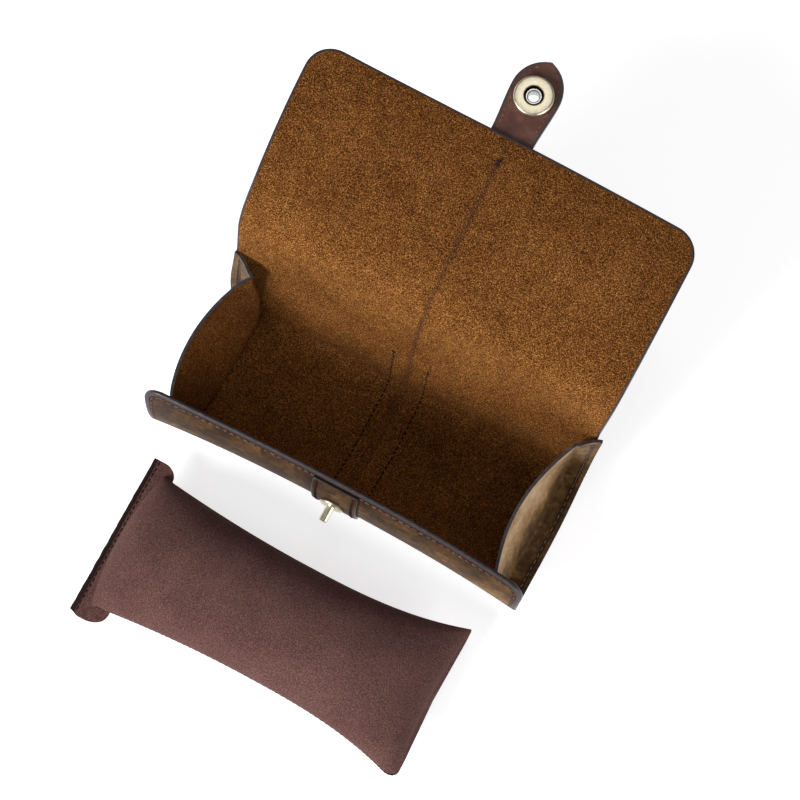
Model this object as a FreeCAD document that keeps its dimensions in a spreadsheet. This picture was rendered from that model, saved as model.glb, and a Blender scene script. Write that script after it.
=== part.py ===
"""Open leather watch roll with its loose watch pillow, as a parametric document in millimetres.

X runs along the roll, Y from the front wall to the back wall, Z is up. The origin is on the
underside of the base band, under the middle of the roll. The leather wrap is drawn in section
by the face that is inside the roll, from the front wall's top edge, under the floor, up the
back wall and out along the open flap.
"""
import FreeCAD, Part
import math
import os
import Sketcher
from FreeCAD import Placement, Rotation, Vector

DIMENSIONS = (
    ("roll_length", 195.0, "flap, from end to end"),
    ("case_length", 201.0, "front wall, floor and back wall, from end to end"),
    ("leather", 2.0, "thickness of the wrap"),
    ("front_top_y", -35.0, "inside of the front wall's top edge"),
    ("front_wall_radius", 74.0, "bulge of the front wall"),
    ("front_wall_turn", 23.5, "degrees of that bulge"),
    ("front_corner_radius", 27.0, "front wall to floor"),
    ("floor_run", 35.84, "flat part of the floor"),
    ("back_corner_radius", 8.0, "floor to back wall"),
    ("back_wall_lean", 77.0, "degrees of the back wall from the floor"),
    ("back_wall_run", 54.8, "straight back wall up to the first bend line"),
    ("wall_corner_radius", 9.0, "rounded top corners of the front wall"),
    ("flap_upright_run", 14.5, "straight leather above the first bend line"),
    ("flap_bend_radius", 29.5, "bend from upright to open"),
    ("flap_bend_turn", 44.0, "degrees of that bend"),
    ("flap_sweep_radius", 165.0, "slight curve of the open flap"),
    ("flap_sweep_inner_turn", 11.0, "degrees of it before the third bend line"),
    ("flap_sweep_outer_turn", 15.8, "degrees of it after the third bend line"),
    ("flap_corner_radius", 13.0, "rounded far corners of the flap"),
    ("bend_gap", 1.0, "leather left free at each bend line"),
    ("close_root", 46.0, "degrees that close the flap at the first bend line"),
    ("close_middle", 98.933, "degrees at the second bend line"),
    ("close_front", 64.01, "degrees at the third bend line"),
    ("close_tab", 49.857, "degrees at the tab's root"),
    ("gusset_leather", 1.5, "thickness of an end gusset"),
    ("gusset_flange", 13.0, "flange sewn to the wrap's end"),
    ("gusset_front_turn", 20.8, "degrees of the front wall that the gusset follows"),
    ("gusset_back_run", 49.0, "straight back wall that the gusset follows"),
    ("band_width", 24.0, "base band"),
    ("band_leather", 1.6, "thickness of the base band"),
    ("band_front_turn", 21.3, "degrees of the front wall that the band covers"),
    ("band_back_run", 29.0, "back wall that the band covers"),
    ("tab_leather", 1.6, "thickness of each of the tab's two layers"),
    ("tab_length", 39.5, "tab beyond the flap's edge"),
    ("tab_foot_width", 21.0, "tab and its root at the flap's edge"),
    ("tab_width", 24.0, "tab beside the snap"),
    ("tab_shoulder", 24.0, "flap's edge to the end of the tab's straight sides"),
    ("tab_root_turn", 14.0, "degrees of the flap that the tab's root covers"),
    ("tab_clearance", 1.3, "flap's edge to the moving tab"),
    ("tab_axis", 0.8, "flap's edge to the line that the tab folds about"),
    ("snap_offset", 21.5, "flap's edge to the middle of the snap"),
    ("cup_diameter", 18.6, "snap's brass cup"),
    ("cup_height", 3.4, "snap's brass cup"),
    ("cup_opening", 8.8, "hole in the cup's face"),
    ("cup_metal", 0.6, "sheet brass of the cup"),
    ("cup_rounding", 0.5, "rounded rim of the cup"),
    ("lip_metal", 0.3, "lip at the foot of the cup, under the rivet"),
    ("magnet_height", 2.4, "ring magnet inside the cup"),
    ("rivet_diameter", 6.4, "hollow rivet through the tab"),
    ("rivet_bore", 5.5, "hole through the rivet"),
    ("rivet_flange", 8.0, "turned ends of the rivet"),
    ("rivet_metal", 0.6, "thickness of those ends"),
    ("rivet_hole", 6.6, "hole in the tab's leather"),
    ("washer_diameter", 14.0, "washer behind the tab"),
    ("washer_metal", 0.6, "thickness of the washers"),
    ("disc_diameter", 12.4, "stud's disc on the front wall"),
    ("disc_metal", 1.4, "thickness of that disc"),
    ("post_diameter", 4.4, "stud's post"),
    ("post_length", 8.0, "post in front of the disc"),
    ("post_chamfer", 0.6, "bevel at the post's end"),
    ("shank_diameter", 3.0, "riveted shank behind the post"),
    ("shank_hole", 3.2, "hole for it in leather and metal"),
    ("shank_head", 4.4, "riveted end of the shank"),
    ("stud_washer_diameter", 10.0, "washer inside the front wall"),
    ("snap_gap", 0.3, "closed snap to the stud's disc"),
    ("pillow_length", 172.0, "stuffed part of the pillow"),
    ("pillow_end_width", 83.0, "flat ends of the pillow"),
    ("pillow_waist_width", 61.0, "middle of the pillow"),
    ("pillow_height", 44.0, "middle of the pillow"),
    ("pillow_end_height", 4.0, "pinched ends of the pillow"),
    ("pillow_end_level", 13.2, "middle of those ends above the ground"),
    ("pillow_cloth", 1.0, "thickness of the pillow's cover"),
    ("pillow_y", -105.0, "middle of the pillow, in front of the roll"),
    ("hem_width", 6.0, "flat hem at the pillow's left end"),
    ("hem_height", 3.0, "folded cloth of that hem"),
    ("stitch_length", 2.8, "one stitch"),
    ("stitch_thread", 0.7, "width of the thread"),
    ("stitch_rise", 0.35, "thread above the surface"),
    ("stitch_pitch", 4.0, "stitch to stitch along a seam"),
    ("hatch_pitch", 2.6, "stitch to stitch across the middle seam"),
    ("hatch_tilt", 62.0, "degrees of those stitches from the seam"),
    ("hatch_end", 14.0, "end of the middle seam to the flap's edge"),
    ("edge_margin", 3.5, "seam to the leather's edge"),
    ("band_margin", 2.4, "seam to the edge of the band or the tab"),
)

PILLOW_STATIONS = (-1.0, -0.86, -0.5, 0.0, 0.5, 0.86, 1.0)
PILLOW_SPREAD_POWER = 2.2
PILLOW_FULLNESS_POWER = 2.6
LEFT, RIGHT = -1, 1
QUARTER_TURN = 90.0
TOLERANCE = 0.05

doc = FreeCAD.newDocument("watch_roll")
sheet = doc.addObject("Spreadsheet::Sheet", "Dimensions")
for row, (alias, value, meaning) in enumerate(DIMENSIONS, start=1):
    sheet.set(f"A{row}", meaning)
    sheet.set(f"B{row}", str(value))
    sheet.setAlias(f"B{row}", alias)
doc.recompute()

nodes = []


class Size:
    """A number worked out from the sheet's cells, with the expression that gives it."""

    def __init__(self, value, text):
        self.value = value
        self.text = text

    def __add__(self, other):
        return Size(self.value + number(other), f"({self.text} + {text_of(other)})")

    def __sub__(self, other):
        return Size(self.value - number(other), f"({self.text} - {text_of(other)})")

    def __mul__(self, other):
        return Size(self.value * number(other), f"({self.text} * {text_of(other)})")

    def __truediv__(self, other):
        return Size(self.value / number(other), f"({self.text} / {text_of(other)})")

    def __neg__(self):
        return Size(-self.value, f"(0 - {self.text})")


def number(item):
    return item.value if isinstance(item, Size) else item


def text_of(item):
    return item.text if isinstance(item, Size) else repr(item)


def dim(alias):
    return Size(float(sheet.get(alias)), f"Dimensions.{alias}")


def arc_degrees(length, radius):
    """The turn of an arc that is this long."""
    return length / radius * math.degrees(1.0)


def bind(thing, field, size):
    thing.setExpression(field, text_of(size))


def node(thing, name):
    """Names an object as one of the pieces that are written out."""
    thing.Label = name
    nodes.append(thing)
    return thing


# Paths in the section plane: straight runs and tangent bends

SECTION = Placement(Vector(0, 0, 0), Rotation(Vector(0, 1, 0), Vector(0, 0, 1), Vector(1, 0, 0), "XYZ"))


def along(degrees):
    """Unit vector of a heading, in the section's own two axes."""
    return Vector(math.cos(math.radians(degrees)), math.sin(math.radians(degrees)), 0)


def run(length):
    return ("run", length, None, 0)


def bend(radius, turn, side):
    """An arc that turns left where side is 1, which is towards the inside of the roll, or right."""
    return ("bend", radius, turn, side)


class Path:
    def __init__(self, start, heading, steps):
        self.start = start
        self.heading = heading
        self.steps = steps

    def lengths(self):
        for kind, first, turn, side in self.steps:
            yield first.value if kind == "run" else first.value * math.radians(turn.value)

    def length(self):
        return sum(self.lengths())

    def at(self, distance):
        """Point, heading and curvature towards the inside, that far along the path."""
        point, heading = self.start, self.heading
        last = len(self.steps) - 1
        for index, (step, span) in enumerate(zip(self.steps, self.lengths())):
            kind, first, turn, side = step
            part = distance if index == last else min(distance, span)
            curvature = 0.0
            if kind == "run":
                point = point + along(heading) * part
            else:
                curvature = side / first.value
                centre = point + along(heading + side * QUARTER_TURN) * first.value
                heading = heading + side * math.degrees(part / first.value)
                point = centre - along(heading + side * QUARTER_TURN) * first.value
            distance -= part
            if distance <= 0 and index < last:
                return point, heading, curvature
        return point, heading, curvature

    def end(self):
        point, heading, curvature = self.at(self.length())
        return point, heading


def constrain(sketch, kind, *args):
    """Adds a constraint whose last value may be a size from the sheet."""
    value = args[-1]
    index = sketch.addConstraint(Sketcher.Constraint(kind, *args[:-1], number(value)))
    if isinstance(value, Size):
        bind(sketch, f"Constraints[{index}]", value)


def constrain_angle(sketch, geometry, degrees):
    index = sketch.addConstraint(Sketcher.Constraint("Angle", geometry, math.radians(number(degrees))))
    if isinstance(degrees, Size):
        bind(sketch, f"Constraints[{index}]", degrees)


def draw(name, path, closed=False):
    """A sketch of a path in the section plane, closed by a straight line where asked."""
    sketch = doc.addObject("Sketcher::SketchObject", name)
    sketch.Placement = SECTION
    point, heading, last = path.start, path.heading, None
    for kind, first, turn, side in path.steps:
        if kind == "run":
            target = point + along(heading) * first.value
            geometry = sketch.addGeometry(Part.LineSegment(point, target), False)
            begin, finish = 1, 2
            constrain(sketch, "Distance", geometry, first)
            if last is None:
                constrain_angle(sketch, geometry, heading)
        else:
            centre = point + along(heading + side * QUARTER_TURN) * first.value
            after = heading + side * turn.value
            angles = sorted(math.radians(a - side * QUARTER_TURN) for a in (heading, after))
            circle = Part.Circle(centre, Vector(0, 0, 1), first.value)
            geometry = sketch.addGeometry(Part.ArcOfCircle(circle, *angles), False)
            begin, finish = (1, 2) if side > 0 else (2, 1)
            constrain(sketch, "Radius", geometry, first)
            constrain_angle(sketch, geometry, turn)
            target = centre - along(after + side * QUARTER_TURN) * first.value
            heading = after
            if last is None:
                reach = centre - point
                if abs(reach.x) < abs(reach.y):
                    constrain(sketch, "DistanceX", geometry, begin, geometry, 3, reach.x)
                else:
                    constrain(sketch, "DistanceY", geometry, begin, geometry, 3, reach.y)
        if last is None:
            constrain(sketch, "DistanceX", -1, 1, geometry, begin, point.x)
            constrain(sketch, "DistanceY", -1, 1, geometry, begin, point.y)
            first_corner = (geometry, begin)
        else:
            sketch.addConstraint(Sketcher.Constraint("Tangent", *last, geometry, begin))
        last = (geometry, finish)
        point = target
    if closed:
        lid = sketch.addGeometry(Part.LineSegment(point, path.start), False)
        sketch.addConstraint(Sketcher.Constraint("Coincident", *last, lid, 1))
        sketch.addConstraint(Sketcher.Constraint("Coincident", lid, 2, *first_corner))
    return sketch


def extrude(name, base, x_start, width):
    """Carries a section along X, from x_start over the width."""
    solid = doc.addObject("Part::Extrusion", name)
    solid.Base = base
    solid.DirMode = "Custom"
    solid.Dir = Vector(1, 0, 0)
    solid.Solid = True
    bind(solid, "LengthFwd", width)
    bind(solid, "Placement.Base.x", x_start)
    return solid


def strip(name, path, thickness, x_start, width):
    """A sheet along a path: the thickness goes outwards where it is positive."""
    section = doc.addObject("Part::Offset2D", name + "_section")
    section.Source = draw(name + "_path", path)
    section.Mode = "Skin"
    section.Fill = True
    bind(section, "Value", thickness)
    doc.recompute()
    point, heading, curvature = path.at(path.length() / 2)
    inside_sheet = point - along(heading + QUARTER_TURN) * (thickness.value / 2)
    if section.Shape.distToShape(Part.Vertex(SECTION.multVec(inside_sheet)))[0] > TOLERANCE:
        bind(section, "Value", -thickness)
    return extrude(name, section, x_start, width)


def cut(name, base, tool):
    piece = doc.addObject("Part::Cut", name)
    piece.Base = base
    piece.Tool = tool
    return piece


def round_corner(name, base, place, radius):
    """Rounds the short edge through the sheet at one of its corners."""
    doc.recompute()
    reach = dim("leather").value
    edges = base.Shape.Edges
    near = [i for i, e in enumerate(edges, 1) if (e.CenterOfMass - place).Length < reach
            and abs(e.Length - reach) < TOLERANCE]
    piece = doc.addObject("Part::Fillet", name)
    piece.Base = base
    piece.Edges = [(index, radius.value, radius.value) for index in near]
    return piece


# Turned pieces, flat leather pieces and stitches

def origin_plane(body, role):
    return next(plane for plane in body.Origin.OriginFeatures if plane.Role == role)


def new_sketch(body, name, role):
    sketch = body.newObject("Sketcher::SketchObject", name)
    sketch.AttachmentSupport = (origin_plane(body, role), "")
    sketch.MapMode = "FlatFace"
    return sketch


def turned(name, corners, place, rounding=None):
    """A body revolved about its own Z from the corners (radius, height) of half its section."""
    body = doc.addObject("PartDesign::Body", name + "_body")
    sketch = new_sketch(body, name + "_profile", "XZ_Plane")
    points = [Vector(number(radius), number(height), 0) for radius, height in corners]
    for index, point in enumerate(points):
        sketch.addGeometry(Part.LineSegment(point, points[(index + 1) % len(points)]), False)
    for index, (radius, height) in enumerate(corners):
        before = (index - 1) % len(points)
        sketch.addConstraint(Sketcher.Constraint("Coincident", before, 2, index, 1))
        constrain(sketch, "DistanceX", -1, 1, index, 1, radius)
        constrain(sketch, "DistanceY", -1, 1, index, 1, height)
    turn = body.newObject("PartDesign::Revolution", name + "_turn")
    turn.Profile = sketch
    turn.ReferenceAxis = (sketch, ["V_Axis"])
    turn.Angle = 360.0
    doc.recompute()
    if rounding:
        top = turn.Shape.BoundBox.ZMax
        rims = [f"Edge{i}" for i, e in enumerate(turn.Shape.Edges, 1)
                if e.BoundBox.ZLength < TOLERANCE and abs(e.CenterOfMass.z - top) < TOLERANCE]
        fillet = body.newObject("PartDesign::Fillet", name + "_rim")
        fillet.Base = (turn, rims)
        bind(fillet, "Radius", rounding)
        body.Tip = fillet
    body.Placement = place
    return node(body, name)


def tab_layer(name, level, place):
    """One layer of the closing tab: straight sides, a blunt pointed end and the rivet's hole."""
    body = doc.addObject("PartDesign::Body", name + "_body")
    sketch = new_sketch(body, name + "_outline", "XY_Plane")
    bind(sketch, "AttachmentOffset.Base.z", level)
    half, foot_half = dim("tab_width") / 2, dim("tab_foot_width") / 2
    foot, shoulder, tip = dim("tab_clearance"), dim("tab_shoulder"), dim("tab_length")
    corners = ((foot_half, foot), (half, shoulder), (Size(0.0, "0"), tip),
               (-half, shoulder), (-foot_half, foot))
    points = [Vector(x.value, y.value, 0) for x, y in corners]
    radius, centre_x = tip_arc()
    sweep = math.atan2(tip.value - shoulder.value, -centre_x)
    right = Part.Circle(Vector(centre_x, shoulder.value, 0), Vector(0, 0, 1), radius)
    left = Part.Circle(Vector(-centre_x, shoulder.value, 0), Vector(0, 0, 1), radius)
    sketch.addGeometry(Part.LineSegment(points[0], points[1]), False)
    sketch.addGeometry(Part.ArcOfCircle(right, 0.0, sweep), False)
    sketch.addGeometry(Part.ArcOfCircle(left, math.pi - sweep, math.pi), False)
    sketch.addGeometry(Part.LineSegment(points[3], points[4]), False)
    sketch.addGeometry(Part.LineSegment(points[4], points[0]), False)
    for before, after in ((0, 1), (1, 2), (2, 3), (3, 4), (4, 0)):
        sketch.addConstraint(Sketcher.Constraint("Coincident", before, 2, after, 1))
    for geometry, (x, y) in zip((0, 1, 2, 3, 4), corners):
        constrain(sketch, "DistanceX", -1, 1, geometry, 1, x)
        constrain(sketch, "DistanceY", -1, 1, geometry, 1, y)
    constrain(sketch, "Radius", 1, radius)
    constrain(sketch, "Radius", 2, radius)
    hole_middle = Vector(0, dim("snap_offset").value, 0)
    hole = sketch.addGeometry(Part.Circle(hole_middle, Vector(0, 0, 1), dim("rivet_hole").value / 2), False)
    constrain(sketch, "DistanceX", -1, 1, hole, 3, 0.0)
    constrain(sketch, "DistanceY", -1, 1, hole, 3, dim("snap_offset"))
    constrain(sketch, "Radius", hole, dim("rivet_hole") / 2)
    pad = body.newObject("PartDesign::Pad", name + "_pad")
    pad.Profile = sketch
    bind(pad, "Length", dim("tab_leather"))
    body.Placement = place
    return node(body, name)


def tip_arc():
    """Radius and centre of the tab's end arc, which leaves its side straight and meets the tip."""
    half = dim("tab_width").value / 2
    rise = dim("tab_length").value - dim("tab_shoulder").value
    radius = (half * half + rise * rise) / (2 * half)
    return radius, half - radius


def thread(place, tilt=0.0):
    """One stitch that lies on a surface: Y along the seam, Z out of the surface."""
    wide, long, rise = (dim(name).value for name in ("stitch_thread", "stitch_length", "stitch_rise"))
    box = Part.makeBox(wide, long, rise, Vector(-wide / 2, -long / 2, 0))
    box.Placement = place * Placement(Vector(0, 0, 0), Rotation(Vector(0, 0, 1), tilt))
    return box


def on_path(path, distance, x, inside, level=0.0):
    """Place on a path's sheet, that far above its inner face or below its outer one."""
    point, heading, curvature = path.at(distance)
    normal = along(heading + QUARTER_TURN)
    reach = dim("stitch_length").value / 2
    facing = 1 if inside else -1
    hollow = max(facing * path.at(distance + end)[2] for end in (-reach, 0.0, reach))
    clear = level
    if hollow > 0:
        radius = 1 / hollow - level
        clear += radius - math.sqrt(radius * radius - reach * reach)
    spot = point + normal * (facing * clear)
    spin = heading if inside else heading + 2 * QUARTER_TURN
    return Placement(Vector(x, spot.x, spot.y), Rotation(Vector(1, 0, 0), spin))


def stitch_node(name, stitches):
    seam = doc.addObject("Part::Feature", name)
    seam.Shape = Part.Compound(stitches)
    return node(seam, name)


def evenly(first, last, pitch):
    count = max(1, round((last - first) / pitch))
    return [first + (last - first) * index / count for index in range(count + 1)]


# The section's paths

front_radius, front_turn = dim("front_wall_radius"), dim("front_wall_turn")
corner_radius = dim("front_corner_radius")
floor_level = dim("band_leather").value + dim("leather").value
wall_centre = Vector(
    dim("front_top_y").value + front_radius.value * math.cos(math.radians(front_turn.value)),
    floor_level + corner_radius.value, 0)


def case_path(front_degrees, back_run, grow=None):
    """Front wall, floor and back wall, on the wrap's inner face or that much outside it."""
    grow = grow or Size(0.0, "0")
    wall, corner, heel = (dim(name) + grow for name in
                          ("front_wall_radius", "front_corner_radius", "back_corner_radius"))
    start = wall_centre - along(-front_degrees.value) * wall.value
    steps = [bend(wall, front_degrees, 1), bend(corner, Size(QUARTER_TURN, "90"), 1),
             run(dim("floor_run")), bend(heel, dim("back_wall_lean"), 1), run(back_run)]
    return Path(start, -QUARTER_TURN - front_degrees.value, steps)


half_gap = dim("bend_gap") / 2
wrap_path = case_path(front_turn, dim("back_wall_run") - half_gap)
gusset_path = case_path(dim("gusset_front_turn"), dim("gusset_back_run"))
band_path = case_path(dim("band_front_turn"), dim("band_back_run"), dim("leather"))

bend_a, heading_a = case_path(front_turn, dim("back_wall_run")).end()
bend_radius, sweep_radius = dim("flap_bend_radius"), dim("flap_sweep_radius")
half_bend = dim("flap_bend_turn") / 2
inner_turn, outer_turn = dim("flap_sweep_inner_turn"), dim("flap_sweep_outer_turn")
root_steps = [run(dim("flap_upright_run")), bend(bend_radius, half_bend, -1)]
bend_b, heading_b = Path(bend_a, heading_a, root_steps).end()
middle_steps = [bend(bend_radius, half_bend, -1), bend(sweep_radius, inner_turn, -1)]
bend_c, heading_c = Path(bend_b, heading_b, middle_steps).end()
flap_edge, heading_edge = Path(bend_c, heading_c, [bend(sweep_radius, outer_turn, -1)]).end()


def trimmed(path, steps):
    """The same path, begun after the free leather of a bend line."""
    point, heading, curvature = path.at(half_gap.value)
    return Path(point, heading, steps)


bend_trim = arc_degrees(half_gap, bend_radius)
sweep_trim = arc_degrees(half_gap, sweep_radius)
root_path = trimmed(Path(bend_a, heading_a, root_steps),
                    [run(dim("flap_upright_run") - half_gap), bend(bend_radius, half_bend - bend_trim, -1)])
middle_path = trimmed(Path(bend_b, heading_b, middle_steps),
                      [bend(bend_radius, half_bend - bend_trim, -1),
                       bend(sweep_radius, inner_turn - sweep_trim, -1)])
front_path = trimmed(Path(bend_c, heading_c, [bend(sweep_radius, outer_turn, -1)]),
                     [bend(sweep_radius, outer_turn - sweep_trim, -1)])

flap_half, case_half = dim("roll_length") / 2, dim("case_length") / 2


# How the flap closes, and where its snap then meets the front wall

def turn_about(point, centre, degrees):
    return centre + Rotation(Vector(0, 0, 1), degrees).multVec(point - centre)


edge_along, edge_normal = along(heading_edge), along(heading_edge + QUARTER_TURN)
tab_line = flap_edge + edge_along * dim("tab_axis").value - edge_normal * dim("leather").value
snap_middle = flap_edge + edge_along * dim("snap_offset").value - edge_normal * dim("leather").value
cup_face = snap_middle + edge_normal * dim("cup_height").value
for centre, alias in ((tab_line, "close_tab"), (bend_c, "close_front"),
                      (bend_b, "close_middle"), (bend_a, "close_root")):
    cup_face = turn_about(cup_face, centre, dim(alias).value)
reach = cup_face - wall_centre
stud_lean = math.degrees(math.atan2(reach.y, -reach.x))
band_face_radius = front_radius.value + dim("leather").value + dim("band_leather").value
stud_reach = band_face_radius + dim("disc_metal").value
if abs(reach.Length - stud_reach - dim("snap_gap").value) > TOLERANCE:
    raise RuntimeError("the closed snap doesn't meet the stud")
stud_axis = along(2 * QUARTER_TURN - stud_lean)
stud_face = wall_centre + stud_axis * stud_reach


# Leather wrap: two halves, butted along the middle

shank_drill = doc.addObject("Part::Cylinder", "shank_drill")
bind(shank_drill, "Radius", dim("shank_hole") / 2)
bind(shank_drill, "Height", dim("disc_diameter"))
drill_start = stud_face - stud_axis * dim("disc_diameter").value
stud_turn = Rotation(Vector(1, 0, 0), QUARTER_TURN - stud_lean)
shank_drill.Placement = Placement(Vector(0, drill_start.x, drill_start.y), stud_turn)


def half_strip(name, path, side, half):
    """One half of a sheet that spans the roll, from the middle seam to an end."""
    start = -half if side == LEFT else Size(0.0, "0")
    return strip(name, path, dim("leather"), start, half)


def sheet_corner(path_point, heading, side, half):
    """Middle of the short edge through the sheet at an end of its path."""
    spot = path_point - along(heading + QUARTER_TURN) * (dim("leather").value / 2)
    return Vector(side * half.value, spot.x, spot.y)


for side, word in ((LEFT, "left"), (RIGHT, "right")):
    blank = half_strip(f"wrap_{word}_blank", wrap_path, side, case_half)
    corner = sheet_corner(wrap_path.start, wrap_path.heading, side, case_half)
    rounded = round_corner(f"wrap_{word}_rounded", blank, corner, dim("wall_corner_radius"))
    node(cut(f"wrap_{word}_drilled", rounded, shank_drill), f"wrap_{word}")
    node(half_strip(f"root_{word}", root_path, side, flap_half), f"flap_root_{word}")
    node(half_strip(f"middle_{word}", middle_path, side, flap_half), f"flap_middle_{word}")
    blank = half_strip(f"front_{word}_blank", front_path, side, flap_half)
    corner = sheet_corner(flap_edge, heading_edge, side, flap_half)
    rounded = round_corner(f"front_{word}", blank, corner, dim("flap_corner_radius"))
    node(rounded, f"flap_front_{word}")


# End gussets: an upright panel with a flange turned out to the wrap's end

def gusset(word, side):
    panel_sketch = draw(f"gusset_{word}_outline", gusset_path, closed=True)
    flange, skin = dim("gusset_flange"), dim("gusset_leather")
    flange_start = -case_half if side == LEFT else case_half - flange
    panel_start = -case_half + flange if side == LEFT else case_half - flange - skin
    joined = doc.addObject("Part::Fuse", f"gusset_{word}_sewn")
    joined.Base = strip(f"gusset_{word}_flange", gusset_path, -skin, flange_start, flange)
    joined.Tool = extrude(f"gusset_{word}_panel", panel_sketch, panel_start, skin)
    joined.Refine = True
    return node(joined, f"gusset_{word}")


gusset("left", LEFT)
gusset("right", RIGHT)


# Base band, from the stud's patch under the floor to the foot of the back wall

band_width = dim("band_width")
band_blank = strip("band_blank", band_path, dim("band_leather"), -band_width / 2, band_width)
node(cut("band_drilled", band_blank, shank_drill), "base_band")


# Magnetic stud on the front wall

stud_place = Placement(Vector(0, stud_face.x, stud_face.y), stud_turn)
bore, shank = dim("shank_hole") / 2, dim("shank_diameter") / 2
disc_back, disc_radius = -dim("disc_metal"), dim("disc_diameter") / 2
turned("stud_disc",
       ((bore, disc_back), (disc_radius, disc_back), (disc_radius, 0.0), (bore, 0.0)),
       stud_place, dim("cup_rounding"))
washer_radius = dim("stud_washer_diameter") / 2
inner_face = disc_back - dim("band_leather") - dim("leather")
washer_front = inner_face - washer_radius * washer_radius / front_radius / 2
washer_back = washer_front - dim("washer_metal")
shank_end = washer_back - dim("washer_metal")
turned("stud_washer",
       ((bore, washer_back), (washer_radius, washer_back),
        (washer_radius, washer_front), (bore, washer_front)),
       stud_place)
post, post_end, bevel = dim("post_diameter") / 2, dim("post_length"), dim("post_chamfer")
head = dim("shank_head") / 2
turned("stud_post",
       ((0.0, shank_end), (head, shank_end), (head, washer_back), (shank, washer_back), (shank, 0.0),
        (post, 0.0), (post, post_end - bevel), (post - bevel, post_end), (0.0, post_end)),
       stud_place)


# Closing tab: a root sewn to the flap's outside, and two layers that carry the snap

outside_radius = sweep_radius - dim("leather")
root_turn = dim("tab_root_turn")
tab_root_start = heading_edge + root_turn.value
sweep_centre = flap_edge - edge_normal * sweep_radius.value
tab_root_path = Path(sweep_centre + along(tab_root_start + QUARTER_TURN) * outside_radius.value,
                     tab_root_start, [bend(outside_radius, root_turn, -1)])
foot_width = dim("tab_foot_width")
tab_root = strip("tab_root_sheet", tab_root_path, dim("tab_leather"), -foot_width / 2, foot_width)
node(tab_root, "tab_root")

tab_turn = Rotation(Vector(1, 0, 0), heading_edge)
tab_place = Placement(Vector(0, flap_edge.x, flap_edge.y), tab_turn)
lining_back = -dim("leather") - dim("tab_leather")
outer_back = lining_back - dim("tab_leather")
tab_layer("tab_lining", lining_back, tab_place)
tab_layer("tab_outer", outer_back, tab_place)


# Magnetic snap on the tab

snap_place = Placement(Vector(0, snap_middle.x, snap_middle.y), tab_turn)
cup_radius, cup_top, metal = dim("cup_diameter") / 2, dim("cup_height"), dim("cup_metal")
opening, lip = dim("cup_opening") / 2, dim("lip_metal")
tube, rivet_bore = dim("rivet_diameter") / 2, dim("rivet_bore") / 2
leather_hole = dim("rivet_hole") / 2
turned("snap_cup",
       ((leather_hole, 0.0), (opening + metal, 0.0), (opening + metal, cup_top - metal),
        (cup_radius - metal, cup_top - metal), (cup_radius - metal, 0.0), (cup_radius, 0.0),
        (cup_radius, cup_top), (opening, cup_top), (opening, lip), (leather_hole, lip)),
       snap_place, dim("cup_rounding"))
turned("snap_magnet",
       ((opening + metal, 0.0), (cup_radius - metal, 0.0), (cup_radius - metal, dim("magnet_height")),
        (opening + metal, dim("magnet_height"))),
       snap_place)
tab_back = -dim("tab_leather") * 2
washer_low, washer_rim = tab_back - dim("washer_metal"), dim("washer_diameter") / 2
turned("snap_washer",
       ((leather_hole, washer_low), (washer_rim, washer_low),
        (washer_rim, tab_back), (leather_hole, tab_back)),
       snap_place)
flange = dim("rivet_flange") / 2
rivet_low, rivet_high = washer_low - dim("rivet_metal"), lip + dim("rivet_metal")
turned("snap_rivet",
       ((rivet_bore, rivet_low), (flange, rivet_low), (flange, washer_low), (tube, washer_low),
        (tube, lip), (flange, lip), (flange, rivet_high), (rivet_bore, rivet_high)),
       snap_place)


# Seams: separate stitches along the wrap, the gussets, the band and the tab

pitch, margin = dim("stitch_pitch").value, dim("edge_margin").value
hatch, tilt = dim("hatch_pitch").value, dim("hatch_tilt").value
flange_face = dim("gusset_leather").value


def hatched(name, path, first, last):
    """Slanting stitches that draw the two halves of the wrap together."""
    spots = evenly(first, last, hatch)
    stitch_node(name, [thread(on_path(path, spot, 0.0, True), tilt) for spot in spots])


stud_drop = math.radians(front_turn.value - stud_lean) * front_radius.value
washer_clear = stud_drop + washer_radius.value
hatched("wrap_middle_stitches", wrap_path, washer_clear + hatch, wrap_path.length() - margin)
hatched("flap_root_stitches", root_path, margin, root_path.length() - margin)
hatched("flap_middle_stitches", middle_path, margin, middle_path.length() - margin)
hatched("flap_front_stitches", front_path, margin, front_path.length() - dim("hatch_end").value)

for side, word in ((LEFT, "left"), (RIGHT, "right")):
    x = side * (case_half.value - margin)
    spots = evenly(margin, gusset_path.length() - margin, pitch)
    stitch_node(f"gusset_{word}_stitches",
                [thread(on_path(gusset_path, spot, x, True, flange_face)) for spot in spots])

band_row = band_width.value / 2 - dim("band_margin").value
band_front = dim("band_front_turn")
band_back = case_path(band_front, dim("band_back_run"))
band_first = front_radius.value * math.radians(band_front.value - stud_lean) + washer_radius.value
stitch_node("band_stitches",
            [thread(on_path(band_back, spot, x, True)) for x in (-band_row, band_row)
             for spot in evenly(band_first + pitch, band_back.length() - margin, pitch)])

front_outer = case_path(front_turn, dim("back_wall_run"), dim("leather"))
wall_end = case_half.value - dim("wall_corner_radius").value
beside_band = band_width.value / 2 + dim("stitch_length").value
crosswise = QUARTER_TURN
stitch_node("front_edge_stitches",
            [thread(on_path(front_outer, margin, x, False), crosswise) for side in (LEFT, RIGHT)
             for x in evenly(side * beside_band, side * wall_end, pitch)])


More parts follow.
